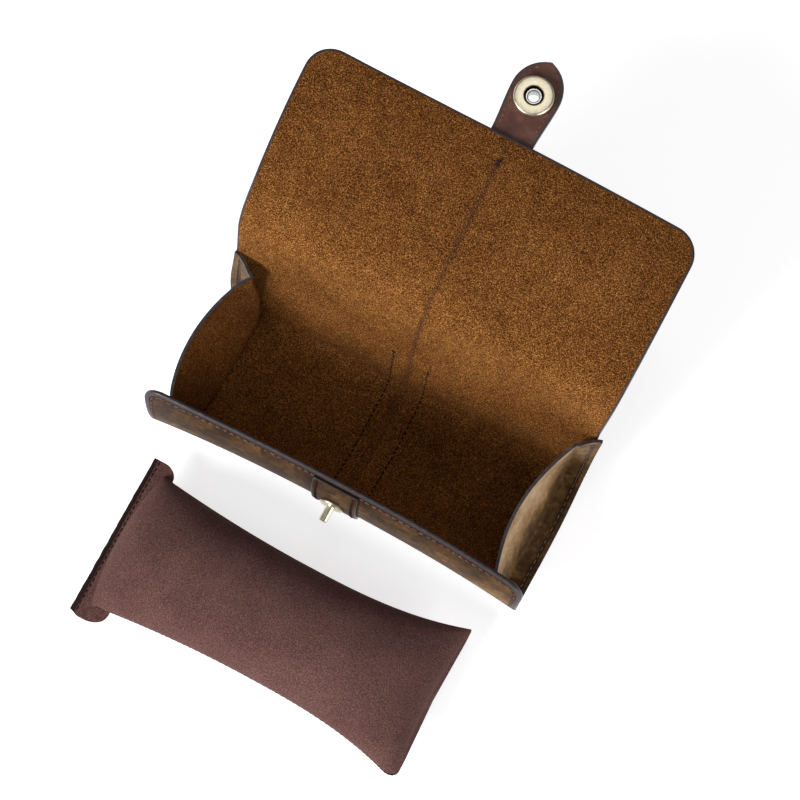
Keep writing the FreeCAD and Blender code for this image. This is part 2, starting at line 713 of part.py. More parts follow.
def tab_seam():
    """Stitches inside the edge of the tab's lining, on both sides, apart from those under the snap."""
    radius, centre_x = tip_arc()
    inset = dim("band_margin").value
    foot, shoulder = dim("tab_clearance").value, dim("tab_shoulder").value
    foot_half, half = dim("tab_foot_width").value / 2, dim("tab_width").value / 2
    level = -dim("leather").value
    snap_reach = cup_radius.value + dim("stitch_length").value / 2
    stitches = []
    for side in (LEFT, RIGHT):
        for spot in evenly(margin, shoulder, pitch):
            row_x = foot_half + (half - foot_half) * (spot - foot) / (shoulder - foot) - inset
            if math.hypot(row_x, spot - dim("snap_offset").value) < snap_reach:
                continue
            stitches.append(thread(tab_place * Placement(Vector(side * row_x, spot, level), Rotation())))
        sweep = math.acos(-centre_x / (radius - inset))
        steps = max(1, round(sweep * (radius - inset) / pitch))
        for index in range(1, steps):
            angle = sweep * index / steps
            x = centre_x + (radius - inset) * math.cos(angle)
            y = shoulder + (radius - inset) * math.sin(angle)
            if math.hypot(x, y - dim("snap_offset").value) < snap_reach:
                continue
            spin = Rotation(Vector(0, 0, 1), side * math.degrees(angle))
            stitches.append(thread(tab_place * Placement(Vector(side * x, y, level), spin)))
    return stitches


stitch_node("tab_stitches", tab_seam())


# Watch pillow: a stuffed tube, round in the middle and pinched flat at its ends

def pillow_loft(name, skin):
    """Ellipses along X, wide and flat at the ends, narrow and round in the middle."""
    length, waist, end = dim("pillow_length"), dim("pillow_waist_width"), dim("pillow_end_width")
    rise, pinch, level = dim("pillow_height"), dim("pillow_end_height"), dim("pillow_end_level")
    loft = doc.addObject("Part::Loft", name)
    rings = []
    for index, station in enumerate(PILLOW_STATIONS):
        spread = abs(station) ** PILLOW_SPREAD_POWER
        fullness = math.sqrt(1 - abs(station) ** PILLOW_FULLNESS_POWER)
        half_rise = (pinch + (rise - pinch) * fullness) / 2
        ring = doc.addObject("Part::Ellipse", f"{name}_ring_{index}")
        bind(ring, "MajorRadius", (waist + (end - waist) * spread) / 2 - skin)
        bind(ring, "MinorRadius", half_rise - skin)
        ring.Placement = SECTION
        bind(ring, "Placement.Base.x", (length / 2 - skin) * station)
        bind(ring, "Placement.Base.y", dim("pillow_y"))
        bind(ring, "Placement.Base.z", level + (rise / 2 - level) * fullness)
        rings.append(ring)
    loft.Sections = rings
    loft.Solid = True
    return loft


pillow_outside = pillow_loft("pillow_outside", Size(0.0, "0"))
pillow_inside = pillow_loft("pillow_inside", dim("pillow_cloth"))
node(cut("pillow_hollow", pillow_outside, pillow_inside), "pillow_cover")
node(pillow_loft("pillow_stuffing", dim("pillow_cloth")), "pillow_filling")

hem = doc.addObject("Part::Box", "hem")
bind(hem, "Length", dim("hem_width"))
bind(hem, "Width", dim("pillow_end_width"))
bind(hem, "Height", dim("hem_height"))
bind(hem, "Placement.Base.x", -dim("pillow_length") / 2 - dim("hem_width"))
bind(hem, "Placement.Base.y", dim("pillow_y") - dim("pillow_end_width") / 2)
bind(hem, "Placement.Base.z", dim("pillow_end_level") - dim("hem_height") / 2)
node(hem, "pillow_hem")

hem_x = -(dim("pillow_length").value + dim("hem_width").value) / 2
hem_top = dim("pillow_end_level").value + dim("hem_height").value / 2
hem_reach = dim("pillow_end_width").value / 2 - margin
stitch_node("pillow_hem_stitches",
            [thread(Placement(Vector(hem_x, dim("pillow_y").value + y, hem_top), Rotation()))
             for y in evenly(-hem_reach, hem_reach, pitch)])


# Check every object, then write one file for each piece

doc.recompute()
failed = [thing.Label for thing in doc.Objects if {"Invalid", "Error"} & set(thing.State)]
failed += [piece.Label for piece in nodes if piece.Shape.isNull() or not piece.Shape.isValid()]
if failed:
    raise RuntimeError("these pieces failed: " + ", ".join(failed))
os.makedirs("parts", exist_ok=True)
for piece in nodes:
    piece.Shape.exportStep(os.path.join("parts", piece.Label + ".step"))
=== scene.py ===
"""Open leather watch roll with a loose watch pillow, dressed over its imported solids, in metres.

X runs along the roll, Y from the front wall to the back wall and out along the open flap, Z is up.
Leather is laid out by two distances on its own face: x across the roll, and s along the section,
from the front wall's top edge under the floor, up the back wall and out to the flap's far edge.
"""
import bmesh
import bpy
import math
from mathutils import Matrix, Vector, noise


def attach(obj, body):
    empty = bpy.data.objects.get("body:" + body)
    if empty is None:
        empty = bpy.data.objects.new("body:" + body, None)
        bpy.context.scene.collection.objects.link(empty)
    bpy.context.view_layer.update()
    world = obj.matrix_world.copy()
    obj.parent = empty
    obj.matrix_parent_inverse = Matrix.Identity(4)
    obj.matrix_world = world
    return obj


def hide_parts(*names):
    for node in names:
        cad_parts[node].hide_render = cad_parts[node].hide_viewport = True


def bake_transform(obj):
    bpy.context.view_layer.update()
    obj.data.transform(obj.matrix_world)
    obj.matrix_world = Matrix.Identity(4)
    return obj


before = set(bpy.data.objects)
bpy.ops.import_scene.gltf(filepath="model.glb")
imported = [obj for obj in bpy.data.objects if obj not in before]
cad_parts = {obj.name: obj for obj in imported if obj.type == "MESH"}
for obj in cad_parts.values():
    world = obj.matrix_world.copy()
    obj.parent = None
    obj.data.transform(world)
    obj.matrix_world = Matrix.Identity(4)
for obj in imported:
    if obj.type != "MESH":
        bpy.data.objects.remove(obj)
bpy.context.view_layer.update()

MM = 0.001
LEFT, RIGHT = -1, 1
SIDES = ((LEFT, "left"), (RIGHT, "right"))


# Colours and materials

def srgb(text):
    """Linear colour of an sRGB hex value."""
    channels = [int(text[i:i + 2], 16) / 255 for i in (1, 3, 5)]
    linear = [c / 12.92 if c <= 0.04045 else ((c + 0.055) / 1.055) ** 2.4 for c in channels]
    return (*linear, 1.0)


def add(tree, kind, inputs=None, **settings):
    """Adds a node with its settings, and fills its sockets with values or links."""
    made = tree.nodes.new(kind)
    for field, value in settings.items():
        setattr(made, field, value)
    for socket, value in (inputs or {}).items():
        if isinstance(value, bpy.types.NodeSocket):
            tree.links.new(value, made.inputs[socket])
        else:
            made.inputs[socket].default_value = value
    return made


def per(size_mm):
    """Texture scale that makes a pattern's grains about this many millimetres wide."""
    return 1 / (size_mm * MM)


def new_material(name):
    """An empty material with one Principled shader, and the Object coordinates for its patterns."""
    material = bpy.data.materials.new(name)
    material.use_nodes = True
    tree = material.node_tree
    tree.nodes.clear()
    shader = add(tree, "ShaderNodeBsdfPrincipled")
    output = add(tree, "ShaderNodeOutputMaterial", {"Surface": shader.outputs["BSDF"]})
    output.is_active_output = True
    coords = add(tree, "ShaderNodeTexCoord").outputs["Object"]
    return material, tree, shader, coords


def set_ramp(ramp, stops):
    """Gives a colour ramp its stops: a place from 0 to 1 and a colour each."""
    elements = ramp.color_ramp.elements
    while len(elements) < len(stops):
        elements.new(1.0)
    for element, (place, colour) in zip(elements, stops):
        element.position = place
        element.color = colour


# Edge paint, in millimetres: how far its line wanders, and how far short of its reach it begins and
# ends its fade
PAINT_WANDER = 1.1
PAINT_FROM, PAINT_TO = 0.8, 0.3
PAINT_ROUGHNESS = 0.42


def painted_rim(tree, coords, colour, roughness, reach, burnish=0.0):
    """Covers a leather's face with edge paint for that many millimetres from its cut edge, to an
    uneven line, and further by burnish where the margin is burnished. The rim and burnished values
    are those that leather_sheet put on the piece."""
    rim = add(tree, "ShaderNodeAttribute", attribute_name="rim")
    burnished = add(tree, "ShaderNodeAttribute", attribute_name="burnished")
    ragged = add(tree, "ShaderNodeTexNoise", {"Vector": coords, "Scale": per(1.6), "Detail": 3.0})
    margin = add(tree, "ShaderNodeMath",
                 {0: burnished.outputs["Fac"], 1: -burnish, 2: rim.outputs["Fac"]},
                 operation="MULTIPLY_ADD")
    line = add(tree, "ShaderNodeMath", {0: ragged.outputs["Fac"], 1: -PAINT_WANDER, 2: margin.outputs[0]},
               operation="MULTIPLY_ADD")
    mask = add(tree, "ShaderNodeMapRange",
               {"Value": line.outputs[0], "From Min": reach - PAINT_FROM, "From Max": reach - PAINT_TO,
                "To Min": 1.0, "To Max": 0.0})
    paint = add(tree, "ShaderNodeMix", {"Factor": mask.outputs[0], 6: colour, 7: srgb("#41383a")},
                data_type="RGBA")
    sheen = add(tree, "ShaderNodeMix", {"Factor": mask.outputs[0], 2: roughness, 3: PAINT_ROUGHNESS})
    return paint.outputs[2], sheen.outputs[0]


def suede_material():
    """Flesh side of vegetable-tanned cowhide, raised to a short nap: matt, and flecked light and
    dark where the fibre bundles lie in different directions. It is darker along the seam, and
    painted lighter along the flap's bend: a painted highlight where the light falls on the bend.
    Real bundles are finer, and are drawn as wide as they show."""
    material, tree, shader, coords = new_material("cowhide suede, flesh side")
    bend_highlight = add(tree, "ShaderNodeAttribute", attribute_name="bend_highlight")
    fibre = add(tree, "ShaderNodeTexNoise",
                {"Vector": coords, "Scale": per(0.54), "Detail": 3.0, "Roughness": 0.85})
    clump = add(tree, "ShaderNodeTexNoise", {"Vector": coords, "Scale": per(6), "Detail": 3.0})
    cloud = add(tree, "ShaderNodeTexNoise", {"Vector": coords, "Scale": per(34), "Detail": 2.0})
    fine = add(tree, "ShaderNodeMath", {0: clump.outputs["Fac"], 1: 0.06, 2: fibre.outputs["Fac"]},
               operation="MULTIPLY_ADD")
    fleck = add(tree, "ShaderNodeMath", {0: cloud.outputs["Fac"], 1: 0.06, 2: fine.outputs[0]},
                operation="MULTIPLY_ADD")
    # Painted highlight: the suede is drawn lighter along the flap's bend, where the light falls on it.
    bend_highlighted = add(tree, "ShaderNodeMath", {0: bend_highlight.outputs["Fac"], 1: 0.027, 2: fleck.outputs[0]},
                 operation="MULTIPLY_ADD")
    tone = add(tree, "ShaderNodeValToRGB", {"Fac": bend_highlighted.outputs[0]})
    set_ramp(tone, ((0.46, srgb("#1d0c02")), (0.56, srgb("#603614")), (0.64, srgb("#905c2a")),
                    (0.72, srgb("#d29a58"))))
    across = add(tree, "ShaderNodeSeparateXYZ", {"Vector": coords}).outputs["X"]
    off_seam = add(tree, "ShaderNodeMath", {0: across}, operation="ABSOLUTE")
    near_seam = add(tree, "ShaderNodeMapRange",
                    {"Value": off_seam.outputs[0], "From Min": 0.9 * MM, "From Max": 1.9 * MM,
                     "To Min": 0.3, "To Max": 0.0})
    drawn = add(tree, "ShaderNodeMix",
                {"Factor": near_seam.outputs[0], 6: tone.outputs["Color"], 7: srgb("#4a2c1c")},
                data_type="RGBA")
    colour, rough = painted_rim(tree, coords, drawn.outputs[2], 0.93, 1.2)
    bump = add(tree, "ShaderNodeBump",
               {"Height": fibre.outputs["Fac"], "Strength": 0.55, "Distance": 0.5 * MM})
    shader.inputs["Specular IOR Level"].default_value = 0.08
    tree.links.new(colour, shader.inputs["Base Color"])
    tree.links.new(rough, shader.inputs["Roughness"])
    tree.links.new(bump.outputs["Normal"], shader.inputs["Normal"])
    return material


# Crease for the sewing, in millimetres from the cut edge: its dark line is partly its own colour
# and partly painted shade of its groove
CREASE_AT, CREASE_HALF = 3.4, 1.0


def grain_material():
    """Oiled pull-up cowhide, grain side: waxy, mottled where the oil has moved, with pores and a few
    scuffs. It is drawn paler where the leather is stretched over a bend, which is partly its own
    pull-up and partly painted light: a painted reflection low on the front wall's round and a painted
    highlight on the gusset panels. A dark line along the sewing is partly the crease's own darker
    colour and partly painted shade of its groove. Real pores are finer, and are drawn as wide as they
    show."""
    material, tree, shader, coords = new_material("oiled pull-up cowhide, grain side")
    pull_up_and_light_mark = add(tree, "ShaderNodeAttribute", attribute_name="pull_up_and_painted_light")
    rim = add(tree, "ShaderNodeAttribute", attribute_name="rim")
    crease_and_groove_shade = add(tree, "ShaderNodeAttribute", attribute_name="crease_and_groove_shade")
    mottle = add(tree, "ShaderNodeTexNoise",
                 {"Vector": coords, "Scale": per(17), "Detail": 5.0, "Roughness": 0.62})
    pore = add(tree, "ShaderNodeTexVoronoi", {"Vector": coords, "Scale": per(1.1)}, feature="F1")
    scuff = add(tree, "ShaderNodeTexNoise",
                {"Vector": coords, "Scale": per(3.2), "Detail": 4.0, "Roughness": 0.7})
    oil = add(tree, "ShaderNodeMath", {0: mottle.outputs["Fac"], 1: 0.46, 2: 0.17},
              operation="MULTIPLY_ADD")
    blend = add(tree, "ShaderNodeMath", {0: scuff.outputs["Fac"], 1: 0.36, 2: oil.outputs[0]},
                operation="MULTIPLY_ADD")
    # Painted light, with some real pull-up: this mark draws the grain paler, as a painted reflection on the
    # front wall and a painted highlight on the gusset panels.
    pull_up_and_painted_light = add(tree, "ShaderNodeMath", {0: pull_up_and_light_mark.outputs["Fac"], 1: 0.32, 2: blend.outputs[0]},
                 operation="MULTIPLY_ADD")
    tone = add(tree, "ShaderNodeValToRGB", {"Fac": pull_up_and_painted_light.outputs[0]})
    set_ramp(tone, ((0.40, srgb("#190d07")), (0.55, srgb("#342113")), (0.66, srgb("#573d20")),
                    (0.78, srgb("#8c6a3f")), (1.0, srgb("#c9aa84"))))
    # Painted shade: the sewing crease is drawn as a dark line, partly its own darker colour and partly
    # painted shade of a groove that the geometry doesn't have.
    on_crease = add(tree, "ShaderNodeMath", {0: rim.outputs["Fac"], 1: CREASE_AT, 2: CREASE_HALF},
                    operation="COMPARE")
    crease = add(tree, "ShaderNodeMath", {0: on_crease.outputs[0], 1: crease_and_groove_shade.outputs["Fac"]},
                 operation="MULTIPLY")
    sewn = add(tree, "ShaderNodeMath", {0: crease.outputs[0], 1: 0.72}, operation="MULTIPLY")
    pressed = add(tree, "ShaderNodeMix",
                  {"Factor": sewn.outputs[0], 6: tone.outputs["Color"], 7: srgb("#150a06")},
                  data_type="RGBA")
    colour, rough = painted_rim(tree, coords, pressed.outputs[2], 0.55, 0.35, 2.0)
    shader.inputs["Specular IOR Level"].default_value = 0.16
    height = add(tree, "ShaderNodeMath", {0: pore.outputs["Distance"], 1: 0.5, 2: scuff.outputs["Fac"]},
                 operation="MULTIPLY_ADD")
    bump = add(tree, "ShaderNodeBump",
               {"Height": height.outputs[0], "Strength": 0.3, "Distance": 0.25 * MM})
    tree.links.new(colour, shader.inputs["Base Color"])
    tree.links.new(rough, shader.inputs["Roughness"])
    tree.links.new(bump.outputs["Normal"], shader.inputs["Normal"])
    return material


def lining_material():
    """Corrected-grain calf in dark chocolate: smooth and satin, with barely visible pores, which are
    drawn wider than real ones."""
    material, tree, shader, coords = new_material("corrected-grain calf, dark chocolate")
    mottle = add(tree, "ShaderNodeTexNoise", {"Vector": coords, "Scale": per(7), "Detail": 4.0})
    pore = add(tree, "ShaderNodeTexNoise", {"Vector": coords, "Scale": per(0.8), "Detail": 2.0})
    tone = add(tree, "ShaderNodeValToRGB", {"Fac": mottle.outputs["Fac"]})
    set_ramp(tone, ((0.30, srgb("#4a2b24")), (0.55, srgb("#603d33")), (0.75, srgb("#704c40"))))
    colour, rough = painted_rim(tree, coords, tone.outputs["Color"], 0.48, 1.15)
    bump = add(tree, "ShaderNodeBump",
               {"Height": pore.outputs["Fac"], "Strength": 0.18, "Distance": 0.2 * MM})
    shader.inputs["Specular IOR Level"].default_value = 0.3
    tree.links.new(colour, shader.inputs["Base Color"])
    tree.links.new(rough, shader.inputs["Roughness"])
    tree.links.new(bump.outputs["Normal"], shader.inputs["Normal"])
    return material


def edge_paint_material(name, dark, middle, light):
    """Brushed-on edge paint over a cut leather edge: satin, a little uneven."""
    material, tree, shader, coords = new_material(name)
    uneven = add(tree, "ShaderNodeTexNoise", {"Vector": coords, "Scale": per(2.5), "Detail": 4.0})
    tone = add(tree, "ShaderNodeValToRGB", {"Fac": uneven.outputs["Fac"]})
    set_ramp(tone, ((0.30, srgb(dark)), (0.60, srgb(middle)), (0.80, srgb(light))))
    bump = add(tree, "ShaderNodeBump",
               {"Height": uneven.outputs["Fac"], "Strength": 0.25, "Distance": 0.3 * MM})
    shader.inputs["Roughness"].default_value = 0.36
    tree.links.new(tone.outputs["Color"], shader.inputs["Base Color"])
    tree.links.new(bump.outputs["Normal"], shader.inputs["Normal"])
    return material


def thread_material(name, dark, light):
    """Spun polyester thread: matt, its plies seen as a slight unevenness along the stitch. The real
    twist is finer, and is drawn as wide as it shows."""
    material, tree, shader, coords = new_material(name)
    twist = add(tree, "ShaderNodeTexNoise", {"Vector": coords, "Scale": per(0.7), "Detail": 2.0})
    tone = add(tree, "ShaderNodeValToRGB", {"Fac": twist.outputs["Fac"]})
    set_ramp(tone, ((0.35, srgb(dark)), (0.65, srgb(light))))
    bump = add(tree, "ShaderNodeBump",
               {"Height": twist.outputs["Fac"], "Strength": 0.4, "Distance": 0.15 * MM})
    shader.inputs["Roughness"].default_value = 0.75
    shader.inputs["Specular IOR Level"].default_value = 0.15
    tree.links.new(tone.outputs["Color"], shader.inputs["Base Color"])
    tree.links.new(bump.outputs["Normal"], shader.inputs["Normal"])
    return material


def metal_material(name, dark, light, roughness):
    """Plated metal: even colour with a soft cloudiness, and a slightly uneven polish."""
    material, tree, shader, coords = new_material(name)
    cloud = add(tree, "ShaderNodeTexNoise", {"Vector": coords, "Scale": per(2.5), "Detail": 3.0})
    tone = add(tree, "ShaderNodeValToRGB", {"Fac": cloud.outputs["Fac"]})
    set_ramp(tone, ((0.30, srgb(dark)), (0.70, srgb(light))))
    uneven = 0.06
    polish = add(tree, "ShaderNodeMapRange",
                 {"Value": cloud.outputs["Fac"], "To Min": roughness - uneven,
                  "To Max": roughness + uneven})
    shader.inputs["Metallic"].default_value = 1.0
    tree.links.new(tone.outputs["Color"], shader.inputs["Base Color"])
    tree.links.new(polish.outputs[0], shader.inputs["Roughness"])
    return material


def microfibre_material(name, raw_edge=False):
    """Brushed microfibre suede: a dense short pile, so matt with a soft bloom at a low angle. Along a
    raw cut edge the pile is pressed flat and looks darker. The real pile is far finer, and is drawn
    as wide as it shows."""
    material, tree, shader, coords = new_material(name)
    pile = add(tree, "ShaderNodeTexNoise",
               {"Vector": coords, "Scale": per(0.55), "Detail": 3.0, "Roughness": 0.8})
    brushed = add(tree, "ShaderNodeTexNoise", {"Vector": coords, "Scale": per(22), "Detail": 2.0})
    both = add(tree, "ShaderNodeMath", {0: brushed.outputs["Fac"], 1: 0.12, 2: pile.outputs["Fac"]},
               operation="MULTIPLY_ADD")
    tone = add(tree, "ShaderNodeValToRGB", {"Fac": both.outputs[0]})
    set_ramp(tone, ((0.40, srgb("#35201e")), (0.56, srgb("#5b3d39")), (0.73, srgb("#84615b"))))
    colour = tone.outputs["Color"]
    if raw_edge:
        rim = add(tree, "ShaderNodeAttribute", attribute_name="rim")
        mask = add(tree, "ShaderNodeMapRange",
                   {"Value": rim.outputs["Fac"], "From Min": 1.7, "From Max": 2.4,
                    "To Min": 1.0, "To Max": 0.0})
        pressed = add(tree, "ShaderNodeMix", {"Factor": mask.outputs[0], 6: colour, 7: srgb("#2a1a18")},
                      data_type="RGBA")
        colour = pressed.outputs[2]
    bump = add(tree, "ShaderNodeBump",
               {"Height": pile.outputs["Fac"], "Strength": 0.4, "Distance": 0.3 * MM})
    shader.inputs["Roughness"].default_value = 0.95
    shader.inputs["Sheen Weight"].default_value = 0.15
    shader.inputs["Sheen Roughness"].default_value = 0.45
    shader.inputs["Sheen Tint"].default_value = srgb("#a8827c")
    shader.inputs["Specular IOR Level"].default_value = 0.2
    tree.links.new(colour, shader.inputs["Base Color"])
    tree.links.new(bump.outputs["Normal"], shader.inputs["Normal"])
    return material


suede = suede_material()
grain = grain_material()
lining = lining_material()
edge_paint = edge_paint_material("acrylic edge paint, slate", "#272123", "#3a3234", "#50474a")
brown_edge = edge_paint_material("acrylic edge paint, dark brown", "#150d09", "#22170f", "#33241a")
seam_thread = thread_material("waxed polyester thread, dark brown", "#22120c", "#4a3025")
edge_thread = thread_material("waxed polyester thread, red-brown", "#54372b", "#8d6857")
band_thread = thread_material("waxed polyester thread, near black", "#0f0805", "#23150d")
pillow_thread = thread_material("polyester thread, plum brown", "#150908", "#2f1a18")
brass = metal_material("brass plating, pale antique", "#d6c9a8", "#ede4cd", 0.34)
nickel = metal_material("nickel plating", "#a9aaa8", "#d8d8d4", 0.25)
# Dark inside the cup's mouth: partly tarnish, partly painted shade of the gap round the rivet.
tarnish_and_painted_shade = metal_material("brass, tarnished, with painted shade inside the cup", "#1b1510", "#352a1e", 0.5)
magnet = metal_material("nickel-plated ring magnet", "#6d6e70", "#96979a", 0.35)
microfibre = microfibre_material("microfibre suede, plum brown")
hemmed_microfibre = microfibre_material("microfibre suede, plum brown, raw edge", raw_edge=True)


# The leather's section, and places on it

FLAP_HALF, CASE_HALF = 97.5 * MM, 100.5 * MM
LEATHER = 2.0 * MM
SECTION_START = (-35.0 * MM, 60.107 * MM)
SECTION_HEADING = math.radians(-113.5)
# Radius in millimetres and turn in degrees of the front wall and of the flap's long sweep, and how
# far into that sweep the flap's front bend lies
WALL_RADIUS, WALL_TURN = 74.0, 23.5
SWEEP_RADIUS, SWEEP_TURN = 165.0, 26.8
SWEEP_FOLD = 11.0


def bend(radius_mm, degrees):
    """Length and curvature of a bend, which turns towards the roll's inside where it is positive."""
    return abs(math.radians(degrees)) * radius_mm * MM, math.copysign(1 / (radius_mm * MM), degrees)


FRONT_WALL, FRONT_CORNER = bend(WALL_RADIUS, WALL_TURN), bend(27.0, 90.0)
FLOOR, HEEL, BACK_WALL = (35.84 * MM, 0.0), bend(8.0, 77.0), (54.8 * MM, 0.0)
FLAP_UPRIGHT, FLAP_BEND = (14.5 * MM, 0.0), bend(29.5, -44.0)
FLAP_SWEEP = bend(SWEEP_RADIUS, -SWEEP_TURN)
SECTION = (FRONT_WALL, FRONT_CORNER, FLOOR, HEEL, BACK_WALL, FLAP_UPRIGHT, FLAP_BEND, FLAP_SWEEP)

S_FLOOR = FRONT_WALL[0] + FRONT_CORNER[0]
S_HEEL = S_FLOOR + FLOOR[0]
S_BACK = S_HEEL + HEEL[0]
S_ROOT = S_BACK + BACK_WALL[0]
S_MIDDLE = S_ROOT + FLAP_UPRIGHT[0] + FLAP_BEND[0] / 2
S_FRONT = S_ROOT + FLAP_UPRIGHT[0] + FLAP_BEND[0] + math.radians(SWEEP_FOLD) * SWEEP_RADIUS * MM
S_EDGE = sum(length for length, curve in SECTION)


def section_at(s):
    """Point (y, z) and heading on the wrap's inner face."""
    (y, z), heading = SECTION_START, SECTION_HEADING
    for index, (length, curve) in enumerate(SECTION):
        last = index == len(SECTION) - 1
        part = s if last else min(s, length)
        if curve:
            y += (math.sin(heading + part * curve) - math.sin(heading)) / curve
            z -= (math.cos(heading + part * curve) - math.cos(heading)) / curve
            heading += part * curve
        else:
            y += part * math.cos(heading)
            z += part * math.sin(heading)
        s -= part
        if s <= 0 and not last:
            break
    return y, z, heading


# How the leather has moved off its plain section, most at the roll's ends: a higher power keeps the
# movement nearer to the end
WALL_BOW, WALL_BOW_POWER = 4.6 * MM, 2.4
WALL_BOW_FULL, WALL_BOW_FADE = 34.0 * MM, 48.0 * MM
FLOOR_SHIFT = 2.8 * MM
END_FLARE, END_FLARE_POWER = 2.0 * MM, 5
END_CURL, END_CURL_POWER = 2.2 * MM, 4
FLAP_POWER = 1.6
FLAP_DROP = {LEFT: 1.5 * MM, RIGHT: 5.0 * MM}
FLAP_STRETCH = {LEFT: 1.7 * MM, RIGHT: -0.8 * MM}
FLAP_SPREAD = {LEFT: 1.5 * MM, RIGHT: 0.0 * MM}
WAVE = 0.5 * MM
WAVE_PER_METRE = 21.0
LOOSE_FROM_BACK = 40 * MM
NARROWS_FROM_BACK = 12 * MM


def eased(value):
    """Goes from 0 to 1 with a level start and end."""
    value = min(1.0, max(0.0, value))
    return value * value * (3 - 2 * value)


def half_at(s):
    """Half the hide's length across the roll: the flap is a little shorter than the case."""
    part = (s - S_BACK - NARROWS_FROM_BACK) / (S_ROOT - S_BACK - NARROWS_FROM_BACK)
    return CASE_HALF + (FLAP_HALF - CASE_HALF) * eased(part)


def on_hide(x, s, depth=0.0):
    """Place on the wrap, that deep from its suede face: the front wall's ends stand out a little and
    the left one curls, the floor has slipped to the right, and the flap's far corners bend back and
    are stretched unevenly."""
    side = LEFT if x < 0 else RIGHT
    end = abs(x) / CASE_HALF
    far = end ** FLAP_POWER * eased((s - S_MIDDLE) / (S_EDGE - S_MIDDLE))
    y, z, heading = section_at(s + FLAP_STRETCH[side] * far)
    bow = WALL_BOW * eased(1 - (s - WALL_BOW_FULL) / WALL_BOW_FADE) * end ** WALL_BOW_POWER
    slip = FLOOR_SHIFT * math.sin(math.pi * min(1.0, max(0.0, s / S_ROOT))) ** 2
    if x < 0 and s < WALL_BOW_FULL:
        upper = eased(1 - s / WALL_BOW_FULL)
        bow -= END_CURL * upper * end ** END_CURL_POWER
        slip -= END_FLARE * upper * end ** END_FLARE_POWER
    slip += side * FLAP_SPREAD[side] * far
    drop = FLAP_DROP[side] * far
    loose = min(1.0, max(0.0, (s - S_BACK) / LOOSE_FROM_BACK))
    wave = WAVE * loose * noise.noise(Vector((x, s, 0.0)) * WAVE_PER_METRE)
    out = depth + wave
    return Vector((x + slip, y + out * math.sin(heading) - bow, z - out * math.cos(heading) - drop))


def frame_on_hide(x, s, depth, inside):
    """Turn and place on the wrap: Y along the section, Z out of the suede or the grain face."""
    step = 0.2 * MM
    spot = on_hide(x, s, depth)
    along = (on_hide(x, s + step, depth) - on_hide(x, s - step, depth)).normalized()
    across = (on_hide(x + step, s, depth) - on_hide(x - step, s, depth)).normalized()
    up = across.cross(along)
    if not inside:
        across, up = -across, -up
    return Matrix((across, along, up)).transposed().to_4x4(), spot


def place_on_hide(x, s, depth, inside, turn=0.0):
    """The same with its place in it, and turned by that many degrees about its own Z."""
    turned, spot = frame_on_hide(x, s, depth, inside)
    return Matrix.Translation(spot) @ turned @ Matrix.Rotation(math.radians(turn), 4, "Z")


# Modelling helpers

def only(thing):
    """Selects one object and nothing else."""
    bpy.ops.object.select_all(action="DESELECT")
    thing.select_set(True)
    bpy.context.view_layer.objects.active = thing


def new_piece(name):
    """Names the object that was just added, and its mesh."""
    piece = bpy.context.object
    piece.name = name
    piece.data.name = name
    return piece


def apply_modifier(piece, kind, **settings):
    """Adds a modifier with these settings and applies it."""
    only(piece)
    modifier = piece.modifiers.new(kind.lower(), kind)
    for field, value in settings.items():
        setattr(modifier, field, value)
    bpy.ops.object.modifier_apply(modifier=modifier.name)


def smooth(piece, degrees=45.0):
    """Shades a piece smooth, apart from edges sharper than this."""
    only(piece)
    bpy.ops.object.shade_smooth_by_angle(angle=math.radians(degrees))


def bevel_edges(piece, chosen, width, segments=3, material=-1):
    """Rounds the edges that chosen(edge) picks."""
    only(piece)
    bpy.ops.object.mode_set(mode="EDIT")
    bpy.ops.mesh.select_mode(type="EDGE")
    bpy.ops.mesh.select_all(action="DESELECT")
    mesh = bmesh.from_edit_mesh(piece.data)
    for edge in mesh.edges:
        edge.select_set(chosen(edge))
    bmesh.update_edit_mesh(piece.data)
    bpy.ops.mesh.bevel(offset=width, segments=segments, affect="EDGES", clamp_overlap=True,
                       material=material)
    bpy.ops.object.mode_set(mode="OBJECT")


CUT_ANGLE = math.radians(50)
ON_THE_RIM = 0.05
MERGE = 0.01 * MM


def rounded_square(a, b):
    """Moves a point of the unit square so that the square's far corner becomes a quarter round."""
    return a * math.sqrt(1 - b * b / 2), b * math.sqrt(1 - a * a / 2)


